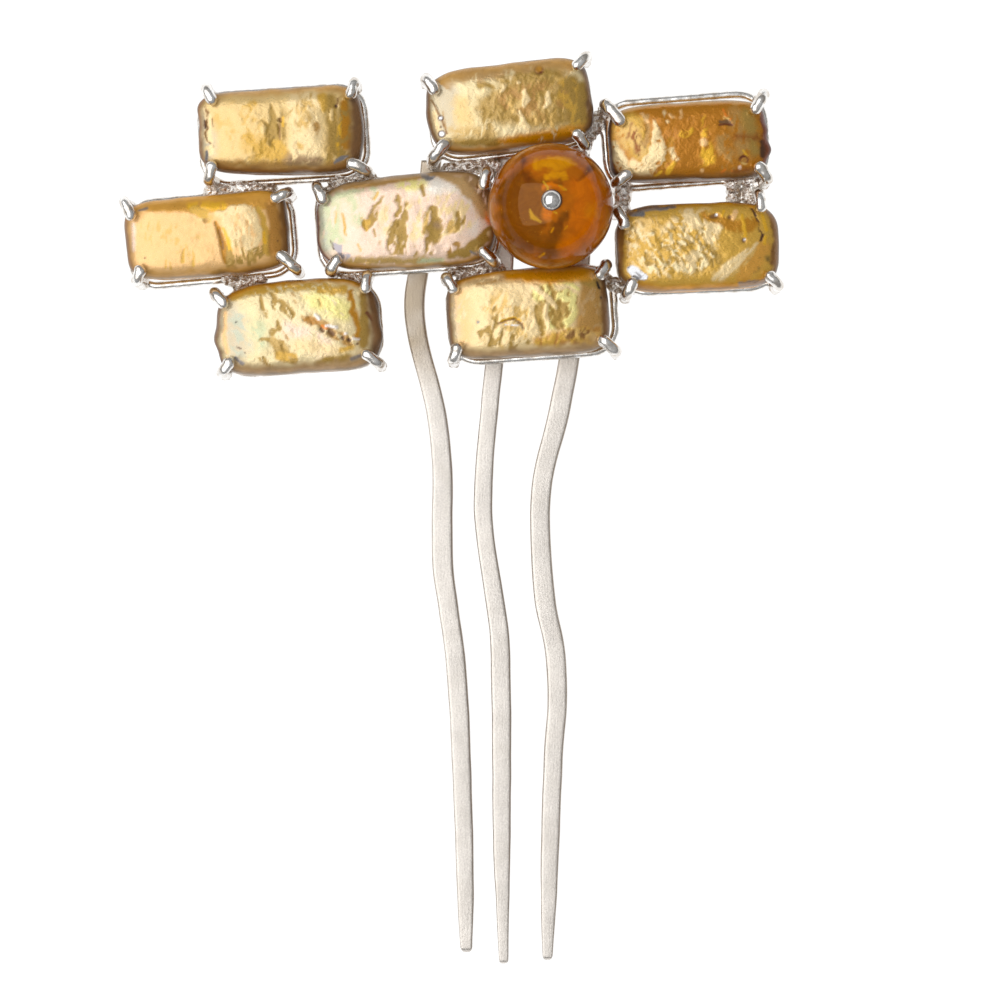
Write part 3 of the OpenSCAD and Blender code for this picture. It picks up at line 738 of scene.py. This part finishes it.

# Strokes painted on the ball as seen from above: colour, softness, wobble; points. Umber on the left is
# painted shade, and flame and spark on the right are painted light, of light that passes through the ball
# from the left
BALL_STROKES = """
umber 8 6: 520 190 24, 525 235 22
umber 7 5: 550 250 12
flame 9 6: 586 185 14, 588 225 17
flame 6 4: 570 245 10
spark 6 6: 592 212 7
soot 5 4: 523 160 4, 528 176 4
soot 4 4: 590 168 4, 580 178 2
cognac 5 5: 536 165 9, 552 164 13, 574 168 9
resin 4 5: 540 163 6, 556 164 8, 570 162 5
resin 2 4: 546 177 3, 566 176 4
umber 3 3: 540 184 2, 560 183 2.4
resin 1 2: 543 159 1, 552 161 2, 565 160 1
flame 1.6 2: 543 187 2, 552 184 2, 562 188 2
umber 3 4: 566 212 3, 560 228 5, 552 240 5
soot 2 3: 560 226 2, 554 236 2
honey .8 .6: 530 210 1, 533 217 2.4, 541 222 .8
honey .8 1: 543 181 .8, 548 187 1, 545 208 .6, 556 213 1
honey .8 1: 559 186 .8, 566 190 1
flame 1.5 3: 575 203 1, 583 216 1.4
umber 4 5: 556 226 4, 548 244 4
flame 1 1: 546 208 1.2, 551 211 1.4, 557 208 1
resin .8 1: 539 257 1, 544 253 1
resin .7 1: 552 232 .8, 554 228 .8
resin .7 1: 565 229 .8, 568 226 .6
resin .8 1: 561 187 1, 564 190 1
flame 3 3: 548 215 6
cognac 3 3: 500 180 4, 512 166 4
"""


def numbers(row):
    """Groups of numbers, split by commas."""
    return [[float(part) for part in group.split()] for group in row.split(",")]


def strokes_of(table):
    """Strokes in a table: colours, the other numbers, points."""
    for row in table.strip().split("\n"):
        head, spots = row.split(":")
        names, *rest = head.split()
        yield names.split("/"), [float(part) for part in rest], numbers(spots)


def in_plan(p, s, w):
    """Place in mm that is s of the way to a pearl's end and w of the way to its side."""
    x, y = s * p[LEN] / 2, w * p[WID] / 2 * (1 + p[TAPER] * s) + p[BOW] * s * s
    x, y = turned(x, y, p[TURN])
    return p[X] + x, p[Y] + y


def crown_z(p, x, y):
    """Height of a pearl's crown over a place."""
    vx, vy = turned(x - p[X], y - p[Y], -p[TURN])
    s = vx / (p[LEN] / 2)
    w = (vy - p[BOW] * s * s) / (p[WID] / 2 * (1 + p[TAPER] * s))
    k = np.minimum((np.abs(s) ** p[CORNER] + np.abs(w) ** p[CORNER]) ** (1 / p[CORNER]), 1)
    return PEARL_MID + PEARL_T / 2 * (1 - k ** CROWN) ** (1 / CROWN)


def touch_z(p, x, y, r):
    """Lowest height at which a ball of radius r over a point touches a pearl's crown."""
    d, a = np.meshgrid(np.linspace(0, r, 12), np.radians(np.arange(0, 360, 15)))
    return float(np.max(crown_z(p, x + d * np.cos(a), y + d * np.sin(a)) + np.sqrt(r * r - d * d)))


def flecks(u, v, grain, seed):
    """Noise from 0 to 1, drawn out across and along a leaning line, with curled edges."""
    lean = math.radians(grain[2])
    x = (u * math.cos(lean) + v * math.sin(lean)) / grain[0]
    y = (v * math.cos(lean) - u * math.sin(lean)) / grain[1]
    dx, dy = noise(x * 0.9, y * 0.9, seed + 5) - 0.5, noise(x * 0.9 + 40, y * 0.9, seed + 6) - 0.5
    return layers(x + CURL * dx, y + CURL * dy, seed)


def stroke_mask(u, v, spots, soft, wobble, seed):
    """How much of a stroke covers each pixel place: a wobbly line of changing radius."""
    u, v = [c + (layers(u / WOBBLE_PX, v / WOBBLE_PX, seed + more) - 0.5) * WOBBLE * wobble
            for c, more in ((u, 0), (v, 7))]
    gap = np.full(u.shape, 1e9)
    for (x0, y0, r0), (x1, y1, r1) in zip(spots, spots[1:] or spots):
        length = max((x1 - x0) ** 2 + (y1 - y0) ** 2, 1e-9)
        t = np.clip(((u - x0) * (x1 - x0) + (v - y0) * (y1 - y0)) / length, 0, 1)
        far = np.hypot(u - x0 - t * (x1 - x0), v - y0 - t * (y1 - y0)) - (r0 + t * (r1 - r0))
        gap = np.minimum(gap, far)
    return 1 - ramp(gap, -soft, soft)


def pearl_shape(p, across=156, up=86):
    """Closed skin of a pearl: its points with their share k of the way from the middle to the
    rim, and its faces. The crown's points come first."""
    lat = np.radians(np.linspace(0, 90, 400))
    gu, gv = (g.ravel() for g in np.meshgrid(np.linspace(-1, 1, across + 1), np.linspace(-1, 1, up + 1)))
    m = np.maximum(np.abs(gu), np.abs(gv))
    du, dv = np.where(m > 0, gu / np.maximum(m, 1e-9), 1.0), gv / np.maximum(m, 1e-9)
    reach = (np.abs(du) ** p[CORNER] + np.abs(dv) ** p[CORNER]) ** (-1 / p[CORNER])
    halves = []
    for full, side in ((CROWN, 1), (BELLY, -1)):
        k, h = np.cos(lat) ** (2 / full), np.sin(lat) ** (2 / full)
        k[-1] = 0.0
        step = np.hypot(np.diff(k) * p[WID] * 0.6, np.diff(h) * PEARL_T / 2)
        t = 1 - (np.concatenate([[0], np.cumsum(step)]) / step.sum())[::-1]
        k, h = np.interp(m, t, k[::-1]), np.interp(m, t, h[::-1])
        x, y = in_plan(p, du * reach * k, dv * reach * k)
        halves.append(np.stack([x, y, PEARL_MID + side * h * PEARL_T / 2, k], 1))
    inner = np.flatnonzero(m <= 1 - 1e-9)
    below = np.arange(len(m))
    below[inner] = len(m) + np.arange(len(inner))
    points = np.concatenate([halves[0], halves[1][inner]])
    faces = []
    for b in range(up):
        for a in range(across):
            c = b * (across + 1) + a
            quad = [c, c + 1, c + across + 2, c + across + 1]
            faces += [quad, below[quad[::-1]].tolist()]
    return points[:, :3].copy(), points[:, 3], (np.arange(len(points)) < len(m)).astype(float), faces


def pearl(i, strokes, material):
    """Pearl with its uneven outline, low relief and colours. Each use of noise has its own seed."""
    p, seed = PEARLS[i], 100 * (i + 1)
    points, k, upper, faces = pearl_shape(p)
    u, v = to_px(*points.T)
    own = np.stack([*turned(points[:, 0] - p[X], points[:, 1] - p[Y], -p[TURN]), points[:, 2]], 1)

    # Uneven outline
    rim = ramp(k, 0.75, 1.0)
    swell = (noise_at(points, (1.7, 1.7, 1.5), seed) - 0.5) * SWELL * rim
    for number, x, y, reach, push in KNOBS:
        if number == i + 1:
            swell = swell + push * rim * np.exp(-((u - x) ** 2 + (v - y) ** 2) / reach ** 2)
    out = own[:, :2] / np.maximum(np.hypot(own[:, 0], own[:, 1]), 1e-6)[:, None] * swell[:, None]

    # Colours and relief: ground, then strokes
    relief = (layers(u / 17, v / 15, seed + 11, 2) - 0.5) * WAVE
    relief = relief + (flecks(u, v, GRAIN[i], seed + 12) - 0.5) * FLECK * SKIN[i]
    tint = np.tile(COLOURS[GROUND[i]], (len(points), 1))
    metal = np.zeros(len(points))
    for row, (names, (deep, soft, wobble, *kept), spots) in enumerate(strokes):
        mask = stroke_mask(u, v, spots, soft, wobble, seed + 31 + row) * upper
        deep, kept = deep / 100, kept[0] / 100 if kept else 1
        edge = 0.75 - 0.5 * kept
        grain = flecks(u, v, GRAIN[i], seed + 61 + row) if kept < 1 or len(names) == 2 else 0
        # A light/dark pair paints sheen on the raised parts of its flecks and shade on the sunken parts
        if len(names) == 2:
            light = ramp(grain, edge - 0.11, edge + 0.11)[:, None]
            paint = COLOURS[names[0]] * light + COLOURS[names[1]] * (1 - light)
            relief = relief + RELIEF * deep * 1.6 * (grain - 0.5) * mask
        else:
            if kept < 1:
                mask = mask * ramp(grain, edge - 0.07, edge + 0.07)
            paint = COLOURS[names[0]]
            relief = relief - RELIEF * deep * mask
            metal = metal * (1 - mask) + METAL.get(names[0], 0) * mask
        tint = laid(tint, mask, paint)

    # Rims: partly the nacre's own brown edge with growth lines that run round the pearl, and partly painted
    # shade where the crown curves down away from the light, darkest along the outline of the upper half; then
    # the underside
    jitter = 0.7 + 0.6 * layers(u / 8, v / 8, seed + 51, 2)
    growth = 0.6 * noise_at(own, (1.6, 1.6, 0.3), seed + 53) + 0.4 * noise_at(own, (0.6, 0.6, 0.5), seed + 54)
    s, w = own[:, 0] / (p[LEN] / 2), own[:, 1] / (p[WID] / 2)
    level = np.abs(w) * p[WID] > np.abs(s) * p[LEN] - (p[LEN] - p[WID])
    high = ramp(points[:, 2], PEARL_MID, PEARL_MID + 1.2)
    band = np.zeros(len(points))
    rims = RIMS.split("\n")[i + 1].split()
    for name, width, side in zip(rims[::2], rims[1::2], (level & (w > 0), ~level & (s > 0),
                                                         level & (w < 0), ~level & (s < 0))):
        far = (1 - k) * np.where(level, p[WID], p[LEN]) / 2 / PIXEL
        mask = (1 - ramp(far * jitter, float(width) * 0.35, float(width) * 1.15)) * side * (1 - metal)
        # Growth lines, and painted shade that darkens the outline on the upper half
        growth_and_edge_shade = 0.75 + 0.7 * growth - 0.5 * (1 - ramp(far, 0.2, 2.6)) * high
        tint = laid(tint, mask, COLOURS[name] * growth_and_edge_shade[:, None])
        band = np.maximum(band, mask)
    below = (1 - upper) * ramp(1 - k, 0.02, 0.2)
    tint = laid(tint, below, COLOURS["brown"] * (0.75 + 0.5 * growth)[:, None])

    points[:, :2] += np.stack(turned(*out.T, p[TURN]), 1)
    points[:, 2] += (1 - k ** 5) * upper * relief
    new_piece(f"pearl_{i + 1}_nacre", points, faces, material, "pearl", f"pearl_{i + 1}", tint=tint,
              metal=metal, skin=np.full(len(points), SKIN[i]), rim=np.maximum(band, ramp(k, 0.93, 1.0)))


# ------------------------------------------------------------------ wires
def tube_faces(count, sides, closed=False):
    """Quads between rings of points, with flat ends unless the tube is closed."""
    faces = []
    for i in range(count if closed else count - 1):
        j = (i + 1) % count
        for k in range(sides):
            n = (k + 1) % sides
            faces.append([i * sides + k, i * sides + n, j * sides + n, j * sides + k])
    if not closed:
        faces += [list(range(sides))[::-1], [(count - 1) * sides + k for k in range(sides)]]
    return faces


def sweep(path, half, up=(0, 0, 1), closed=False, sides=16):
    """Tube along a path in mm: half holds one pair of half sizes a point, across and along up."""
    path = np.asarray(path, float)
    tangent = np.roll(path, -1, 0) - np.roll(path, 1, 0) if closed else np.gradient(path, axis=0)
    tangent /= np.linalg.norm(tangent, axis=1)[:, None]
    across = np.cross(tangent, np.asarray(up, float))
    across /= np.linalg.norm(across, axis=1)[:, None]
    lift = np.cross(across, tangent)
    a = np.linspace(0, 2 * math.pi, sides, endpoint=False)
    half = np.asarray(half, float)
    ring = path[:, None] + across[:, None] * (half[:, :1] * np.cos(a))[..., None] \
        + lift[:, None] * (half[:, 1:] * np.sin(a))[..., None]
    return ring.reshape(-1, 3), tube_faces(len(path), sides, closed)


def rounded_ends(path, radius):
    """Path with its ends drawn out to domes, and the radii that go with it."""
    path = np.asarray(path, float)
    radius = np.zeros(len(path)) + radius
    head, tail = path[0] - path[1], path[-1] - path[-2]
    head, tail = head / np.linalg.norm(head), tail / np.linalg.norm(tail)
    bows = np.radians(np.linspace(80, 20, 4))
    before = [path[0] + head * radius[0] * math.sin(b) for b in bows]
    after = [path[-1] + tail * radius[-1] * math.sin(b) for b in bows[::-1]]
    sizes = np.concatenate([radius[0] * np.cos(bows), radius, radius[-1] * np.cos(bows[::-1])])
    return np.concatenate([before, path, after]), np.stack([sizes, sizes], 1)


def rail_path(r, steps=9):
    length, width = r[LEN] / 2 - RAIL_BEND, r[WID] / 2 - RAIL_BEND
    path = []
    for quarter, (sx, sy) in enumerate(((1, 1), (-1, 1), (-1, -1), (1, -1))):
        for a in np.radians(np.linspace(90 * quarter, 90 * quarter + 90, steps)):
            x, y = turned(sx * length + RAIL_BEND * math.cos(a), sy * width + RAIL_BEND * math.sin(a),
                          r[TURN])
            path.append((r[X] + x, r[Y] + y, RAIL_Z))
    return path


def claw_tube(p, tip, post):
    """Post beside the pearl, bend over its rim, and finger to a balled end on its crown."""
    reach = np.linalg.norm(tip - post)
    way = (tip - post) / reach
    top = touch_z(p, tip[0], tip[1], CLAW_TIP_D / 2) + PLAY
    thick = CLAW_D / 2 + FULL
    path = [(*post, z) for z in np.linspace(RAIL_Z - CLAW_D / 2 + CLAW_D / 3, top - CLAW_BEND, 8)]
    for a in np.radians(np.linspace(11, 90, 9)):
        flat = CLAW_BEND * (1 - math.cos(a))
        path.append((*(post + way * flat), top - CLAW_BEND + CLAW_BEND * math.sin(a)))
    radius = [thick] * len(path)
    for t in (0.5, 1.0):
        path.append((*(post + way * (CLAW_BEND + (reach - CLAW_BEND) * t)), top))
        radius.append(thick + (CLAW_TIP_D - CLAW_D) / 2 * t)
    return sweep(*rounded_ends(path, radius), (way[1], -way[0], 0))


def solder_bar(row, spots):
    """Lumpy bar through its spots, and the line that it follows."""
    t = np.linspace(0, 1, 9)
    x, y, wide, high = (np.interp(t, np.linspace(0, 1, len(spots)), spots[:, c]) for c in range(4))
    uneven = noise(t * 5, t * 0 + row, 900 + row) * 0.3 + 0.85
    end = np.array([0.3, 0.6, 0.8, 0.95])
    half = [np.concatenate([size[0] * end, size * uneven, size[-1] * end[::-1]]) for size in (wide, high)]
    path, _ = rounded_ends(np.stack([x, y, np.full(len(t), RAIL_Z)], 1), spots[0, 3])
    return sweep(path, np.stack(half, 1)), [(*place, BAR_REACH) for place in zip(x, y)]


def remeshed(parts):
    """Fuses overlapping closed shells into one skin of even quads."""
    points, faces = [], []
    for pts, fcs in parts:
        faces += [[j + len(points) for j in f] for f in fcs]
        points += pts.tolist()
    mesh = bpy.data.meshes.new("fuse")
    mesh.from_pydata(points, [], faces)
    obj = placed("fuse", mesh)
    mod = obj.modifiers.new("fuse", "REMESH")
    mod.mode, mod.voxel_size = "VOXEL", VOXEL
    made = bpy.data.meshes.new_from_object(obj.evaluated_get(bpy.context.evaluated_depsgraph_get()))
    co, edges = np.zeros(len(made.vertices) * 3), np.zeros(len(made.edges) * 2, int)
    made.vertices.foreach_get("co", co)
    made.edges.foreach_get("vertices", edges)
    faces = [list(f.vertices) for f in made.polygons]
    bpy.data.objects.remove(obj)
    bpy.data.meshes.remove(made)
    return co.reshape(-1, 3), faces, edges.reshape(-1, 2)


def smoothed(points, edges):
    """Each point drawn halfway to the middle of its neighbours, some times over."""
    count = np.bincount(edges.ravel(), minlength=len(points))[:, None]
    for _ in range(SMOOTHINGS):
        total = np.zeros_like(points)
        np.add.at(total, edges[:, 0], points[edges[:, 1]])
        np.add.at(total, edges[:, 1], points[edges[:, 0]])
        points = points + 0.5 * (total / np.maximum(count, 1) - points)
    return points


def normals_of(points, faces):
    quads = np.array([f if len(f) == 4 else [*f, f[-1]] for f in faces])
    n = np.cross(points[quads[:, 2]] - points[quads[:, 0]], points[quads[:, 3]] - points[quads[:, 1]])
    total = np.zeros_like(points)
    for c in range(4):
        np.add.at(total, quads[:, c], n)
    return total / np.maximum(np.linalg.norm(total, axis=1), 1e-12)[:, None]


def setting(i, material):
    """Rail, claws, spurs and solder of one pearl, fused into one skin."""
    rail = RAILS[i]
    path = rail_path(rail)
    parts, joints = [sweep(path, [(RAIL_D / 2, RAIL_D / 2)] * len(path), closed=True)], []
    inset = RAIL_BEND * (1 - math.cos(math.pi / 4))
    for *tip, x, y in numbers(CLAWS.split("\n")[i + 1]):
        parts.append(claw_tube(PEARLS[i], np.array(tip), np.array([x, y])))
        side = turned(x - rail[X], y - rail[Y], -rail[TURN])
        dx, dy = turned(math.copysign(rail[LEN] / 2 - inset, side[0]),
                        math.copysign(rail[WID] / 2 - inset, side[1]), rail[TURN])
        spur = [(rail[X] + dx, rail[Y] + dy, RAIL_Z), (x, y, RAIL_Z)]
        parts.append(sweep(*rounded_ends(spur, SPUR_D / 2)))
        joints.append((x, y, CLAW_REACH))
    for row, bar in enumerate(SOLDER.strip().split("\n")):
        number, spots = bar.split(":")
        if int(number) == i + 1:
            tube, line = solder_bar(row, np.array(numbers(spots)))
            parts.append(tube)
            joints += line
    co, faces, edges = remeshed(parts)
    co = smoothed(co, edges)

    # Lumps where metal was fused, and a hammered look on the claws' ends
    low = ramp(-co[:, 2], -RAIL_Z - 1.1, -RAIL_Z - 0.5)
    rough = np.zeros(len(co))
    for x, y, r in joints:
        rough = np.maximum(rough, (1 - ramp(np.hypot(co[:, 0] - x, co[:, 1] - y), 0.5 * r, 1.1 * r)) * low)
    lumps = (noise_at(co, (0.35, 0.35, 0.35), 77) - 0.5) * LUMP * rough
    beaten = 0.05 + 0.16 * ramp(co[:, 2], RAIL_Z + 2.5, RAIL_Z + 4)
    lumps = lumps + (noise_at(co, (0.75, 0.75, 0.9), 78) - 0.5) * beaten
    co = co + normals_of(co, faces) * lumps[:, None]
    co = np.clip(co, np.array(cad_box[0]) / MM, np.array(cad_box[1]) / MM)
    new_piece(f"setting_{i + 1}", co, faces, material, "silver", "silver_frame", rough=rough)


# ------------------------------------------------------------------ tines, seat, pin and ball
def smooth_row(rows, y, c):
    """Value of a tine's column at height y, on a smooth curve through its rows."""
    rows = np.array(rows, float)
    i = int(np.clip(np.flatnonzero(rows[:, 0] >= y - 1e-9).max(initial=0), 0, len(rows) - 2))

    def slope(j):
        a, b = max(j - 1, 0), min(j + 1, len(rows) - 1)
        return (rows[b, c] - rows[a, c]) / (rows[b, 0] - rows[a, 0])

    h = rows[i + 1, 0] - rows[i, 0]
    t = (y - rows[i, 0]) / h
    return ((2 * t ** 3 - 3 * t ** 2 + 1) * rows[i, c] + (t ** 3 - 2 * t ** 2 + t) * h * slope(i)
            + (3 * t ** 2 - 2 * t ** 3) * rows[i + 1, c] + (t ** 3 - t ** 2) * h * slope(i + 1))


def tine(side, rows, material, steps=300, around=28):
    """Square wire with softened edges, thinned and rounded at its tip."""
    last, r = rows[-1], rows[-1][2] / 2
    low = last[0] + r
    stations = [(y, smooth_row(rows, y, 1), smooth_row(rows, y, 2) / 2, 1.0)
                for y in np.linspace(rows[0][0], low, steps)]
    stations += [(low - r * math.sin(b), last[1], r * math.cos(b), 0.35 + 0.65 * math.cos(b))
                 for b in np.radians(np.linspace(0, 84, 10))[1:]]
    y, x, half, lift = np.repeat(stations, around, axis=0).T
    a = np.linspace(0, 2 * math.pi, around, endpoint=False) + math.pi / around
    across, up = (np.tile(spow(f(a), 2 / FLATNESS), len(stations)) for f in (np.cos, np.sin))
    lowest = min(table[-1][0] for table in TINES.values())
    thick = (TIP_T + (TINE_T - TIP_T) * np.clip((y - lowest) / THIN_LEN, 0, 1)) * lift
    points = np.stack([x + (noise(y / 2.3, 0, 5) - 0.5) * 0.06 + half * 0.995 * across, y,
                       thick / 2 + thick / 2 * up], 1)
    dimple = (noise_at(points, (1.2, 2.1, 1.4), 9) - 0.5) * 0.05
    points[:, 2] = np.clip(points[:, 2] + dimple * (points[:, 2] > 1), 0, TINE_T)

    # Painted shade: dark lines along the edges, wider on the right side, which faces away from the light, and
    # a painted shadow where a tine comes out from below the ornament
    centre = points[:, 0].reshape(-1, around).mean(axis=1).repeat(around)
    out = np.abs(points[:, 0] - centre) / half + 0.06 * (noise(points[:, 1] / 1.5, points[:, 0], 31) - 0.5)
    edge = np.where(points[:, 0] > x, ramp(out, 0.8, 0.88), ramp(out, 0.91, 0.97)) * 0.62
    ornament_shadow = ramp(points[:, 1], 12, 21) * (1.0 if side == "left" else 0.25)
    shade = ornament_shadow * (0.75 + 0.5 * noise(points[:, 0] / 0.8, points[:, 1] / 1.5, 33)) * 0.75
    new_piece(f"tine_{side}", points, tube_faces(len(stations), around), material, "silver", "silver_frame",
              edge=edge, shade=shade)


def lathe(profile, sides=64, ring=False):
    """Body turned round the ball's axis: its profile of radius and height runs from axis to axis
    or, for a ring, back to its start."""
    points, rows, faces = [], [], []
    for r, z in profile:
        a = np.linspace(0, 2 * math.pi, sides, endpoint=False)[:sides if r > 1e-6 else 1]
        rows.append([len(points) + k for k in range(len(a))])
        points += [(BALL[0] + r * math.cos(t), BALL[1] + r * math.sin(t), z) for t in a]
    for one, two in zip(rows, rows[1:] + rows[:1] if ring else rows[1:]):
        for k in range(sides):
            n = (k + 1) % sides
            corners = [one[k % len(one)], one[n % len(one)], two[n % len(two)], two[k % len(two)]]
            faces.append(list(dict.fromkeys(corners)))
    return np.array(points), faces


def arc(x, z, radius, start, end, steps=5):
    """Points of an arc round a centre, for a profile, with its angles in degrees from level."""
    return [(x + radius * math.cos(math.radians(t)), z + radius * math.sin(math.radians(t)))
            for t in np.linspace(start, end, steps)]


def ball_seat(material, rough=0.35, soft=0.25, stations=12, sides=20):
    """Bored boss under the ball, and the bar that carries it between two tines."""
    hole = PIN_D / 2 + PIN_PLAY
    profile = [(hole, SEAT_TOP - 0.1), (hole, SEAT_Z)]
    profile += arc(SEAT_D / 2 - soft, SEAT_Z + soft, soft, -90, 0)
    profile += arc(SEAT_D / 2 - soft, SEAT_TOP - soft, soft, 0, 90)
    boss = lathe(profile + [(hole + 0.1, SEAT_TOP)], ring=True)
    ends = [smooth_row(TINES[side], BALL[1], 1) for side in ("middle", "right")]
    a = np.linspace(0, 2 * math.pi, sides, endpoint=False)
    flat = [BALL[1] + SEAT_BAR / 2 * spow(np.cos(a), 0.4),
            (SEAT_Z + SEAT_BAR_TOP) / 2 + (SEAT_BAR_TOP - SEAT_Z) / 2 * spow(np.sin(a), 0.4)]
    bar = np.concatenate([np.stack([np.full(sides, x), *flat], 1) for x in np.linspace(*ends, stations)])
    for name, (points, faces) in (("ball_seat", boss), ("seat_bar", (bar, tube_faces(stations, sides)))):
        new_piece(name, points, faces, material, "silver", "silver_frame", rough=np.full(len(points), rough))


def bead_pin(material):
    """Pin through the ball: riveted tail, shaft and domed head."""
    tail = SEAT_Z - PIN_PLAY
    low, shaft, head = tail - 0.5, PIN_D / 2, HEAD_D / 2
    dome = (head ** 2 + HEAD_RISE ** 2) / (2 * HEAD_RISE)
    centre = HEAD_Z + HEAD_RISE - dome
    profile = [(0, low), (1.05, low), (1.2, low + 0.15), (1.2, low + 0.4), (1.1, tail), (shaft, tail),
               (shaft, HEAD_Z), (head - 0.08, HEAD_Z), (head, HEAD_Z + 0.06)]
    profile += [(dome * math.sin(math.radians(t)), centre + dome * math.cos(math.radians(t)))
                for t in np.linspace(math.degrees(math.asin(head / dome)) - 3, 0, 20)]
    points, faces = lathe(profile)
    x, y = points[:, 0] - BALL[0], points[:, 1] - BALL[1]
    # Painted shade on the head: darker towards its rim, and more on its right side, away from the light
    shaded = ramp(np.hypot(x, y) / head, 0.72, 0.92) * (0.6 + 0.4 * ramp(x, -0.3, 0.6))
    new_piece("bead_pin_polished", points, faces, material, "polished_silver", "bead_pin",
              edge=shaded * (points[:, 2] > BALL[2]))


def amber_ball(material):
    """Bored ball, whose colours are seen from above."""
    r, bore = BALL_D / 2, BORE_D / 2
    start = math.degrees(math.asin(bore / r))
    profile = [(r * math.sin(math.radians(t)), BALL[2] - r * math.cos(math.radians(t)))
               for t in np.linspace(start, 180 - start, 130)]
    profile += [(bore, BALL[2] + z) for z in np.linspace(r * 0.97, -r * 0.97, 10)]
    points, faces = lathe(profile, sides=180, ring=True)
    u, v = to_px(*points.T)
    upper = ramp(points[:, 2] - BALL[2], -1.5, 0.5)
    tint = np.tile(COLOURS["cognac"], (len(points), 1))
    for row, (names, (soft, wobble), spots) in enumerate(strokes_of(BALL_STROKES)):
        tint = laid(tint, stroke_mask(u, v, spots, soft, wobble, 1500 + row) * upper, COLOURS[names[0]])
    far = np.hypot(points[:, 0] - BALL[0], points[:, 1] - BALL[1]) / r
    # Painted shade: darker towards the outer part of the ball, and a dark umber band along its outline
    tint = tint * (1 - 0.18 * ramp(far, 0.68, 0.78)[:, None])
    tint = laid(tint, ramp(far, 0.93, 0.98) * 0.5, COLOURS["umber"])
    new_piece("amber_ball_clear", points, faces, material, "amber", "amber_ball", edge=ramp(far, 0.6, 0.7),
              tint=tint)


# ------------------------------------------------------------------ the object
nacre, wire = pearl_material(), wire_material()
for number, table in enumerate(STROKES.split("\n\n")):
    pearl(number, strokes_of(table), nacre)
    setting(number, wire)
satin = tine_material()
for side, table in TINES.items():
    tine(side, table, satin)
ball_seat(wire)
bead_pin(polished_material())
amber_ball(amber_material())

# ------------------------------------------------------------------ floor, light and camera
bpy.ops.mesh.primitive_plane_add(size=FLOOR, location=(0, 0, -FLOOR_DROP * MM))
table_top = bpy.context.object
table_top.name = "table_top"
table_top.data.materials.append(floor_material())

# One wide panel, from just right of overhead to low on the left
light = bpy.data.lights.new("left panel", "AREA")
light.shape, light.energy = "RECTANGLE", PANEL_WATTS
light.size, light.size_y = PANEL
panel = placed("left panel", light)
panel.location = PANEL_AT
way = np.array(PANEL_AT) - np.array(PANEL_AIM)
panel.rotation_euler = (math.acos(way[2] / np.linalg.norm(way)), 0, math.atan2(way[1], way[0]) + math.pi / 2)

# Grey surroundings, brighter towards the top
world = bpy.data.worlds.new("studio")
bpy.context.scene.world = world
world.use_nodes = True
tree = world.node_tree
place, split, fade = [tree.nodes.new("ShaderNode" + kind)
                      for kind in ("TexCoord", "SeparateXYZ", "ValToRGB")]
tree.links.new(place.outputs["Generated"], split.inputs[0])
tree.links.new(split.outputs["Z"], fade.inputs[0])
tree.links.new(fade.outputs[0], tree.nodes["Background"].inputs[0])
for stop, _ in SKY[1:-1]:
    fade.color_ramp.elements.new(stop)
for element, (stop, level) in zip(fade.color_ramp.elements, SKY):
    element.position = stop
    element.color = (level, level, level, 1)

camera_data = bpy.data.cameras.new("camera")
camera = placed("camera", camera_data)
camera.location = (MIDDLE[0] * MM, MIDDLE[1] * MM, CAMERA_Z * MM)
camera_data.sensor_width = SENSOR
camera_data.lens = SENSOR * CAMERA_Z / (PIXEL * FRAME_PX)
camera_data.clip_start = 0.01
camera_data.dof.use_dof = False
bpy.context.scene.camera = camera
bpy.context.scene.view_settings.view_transform = "Standard"
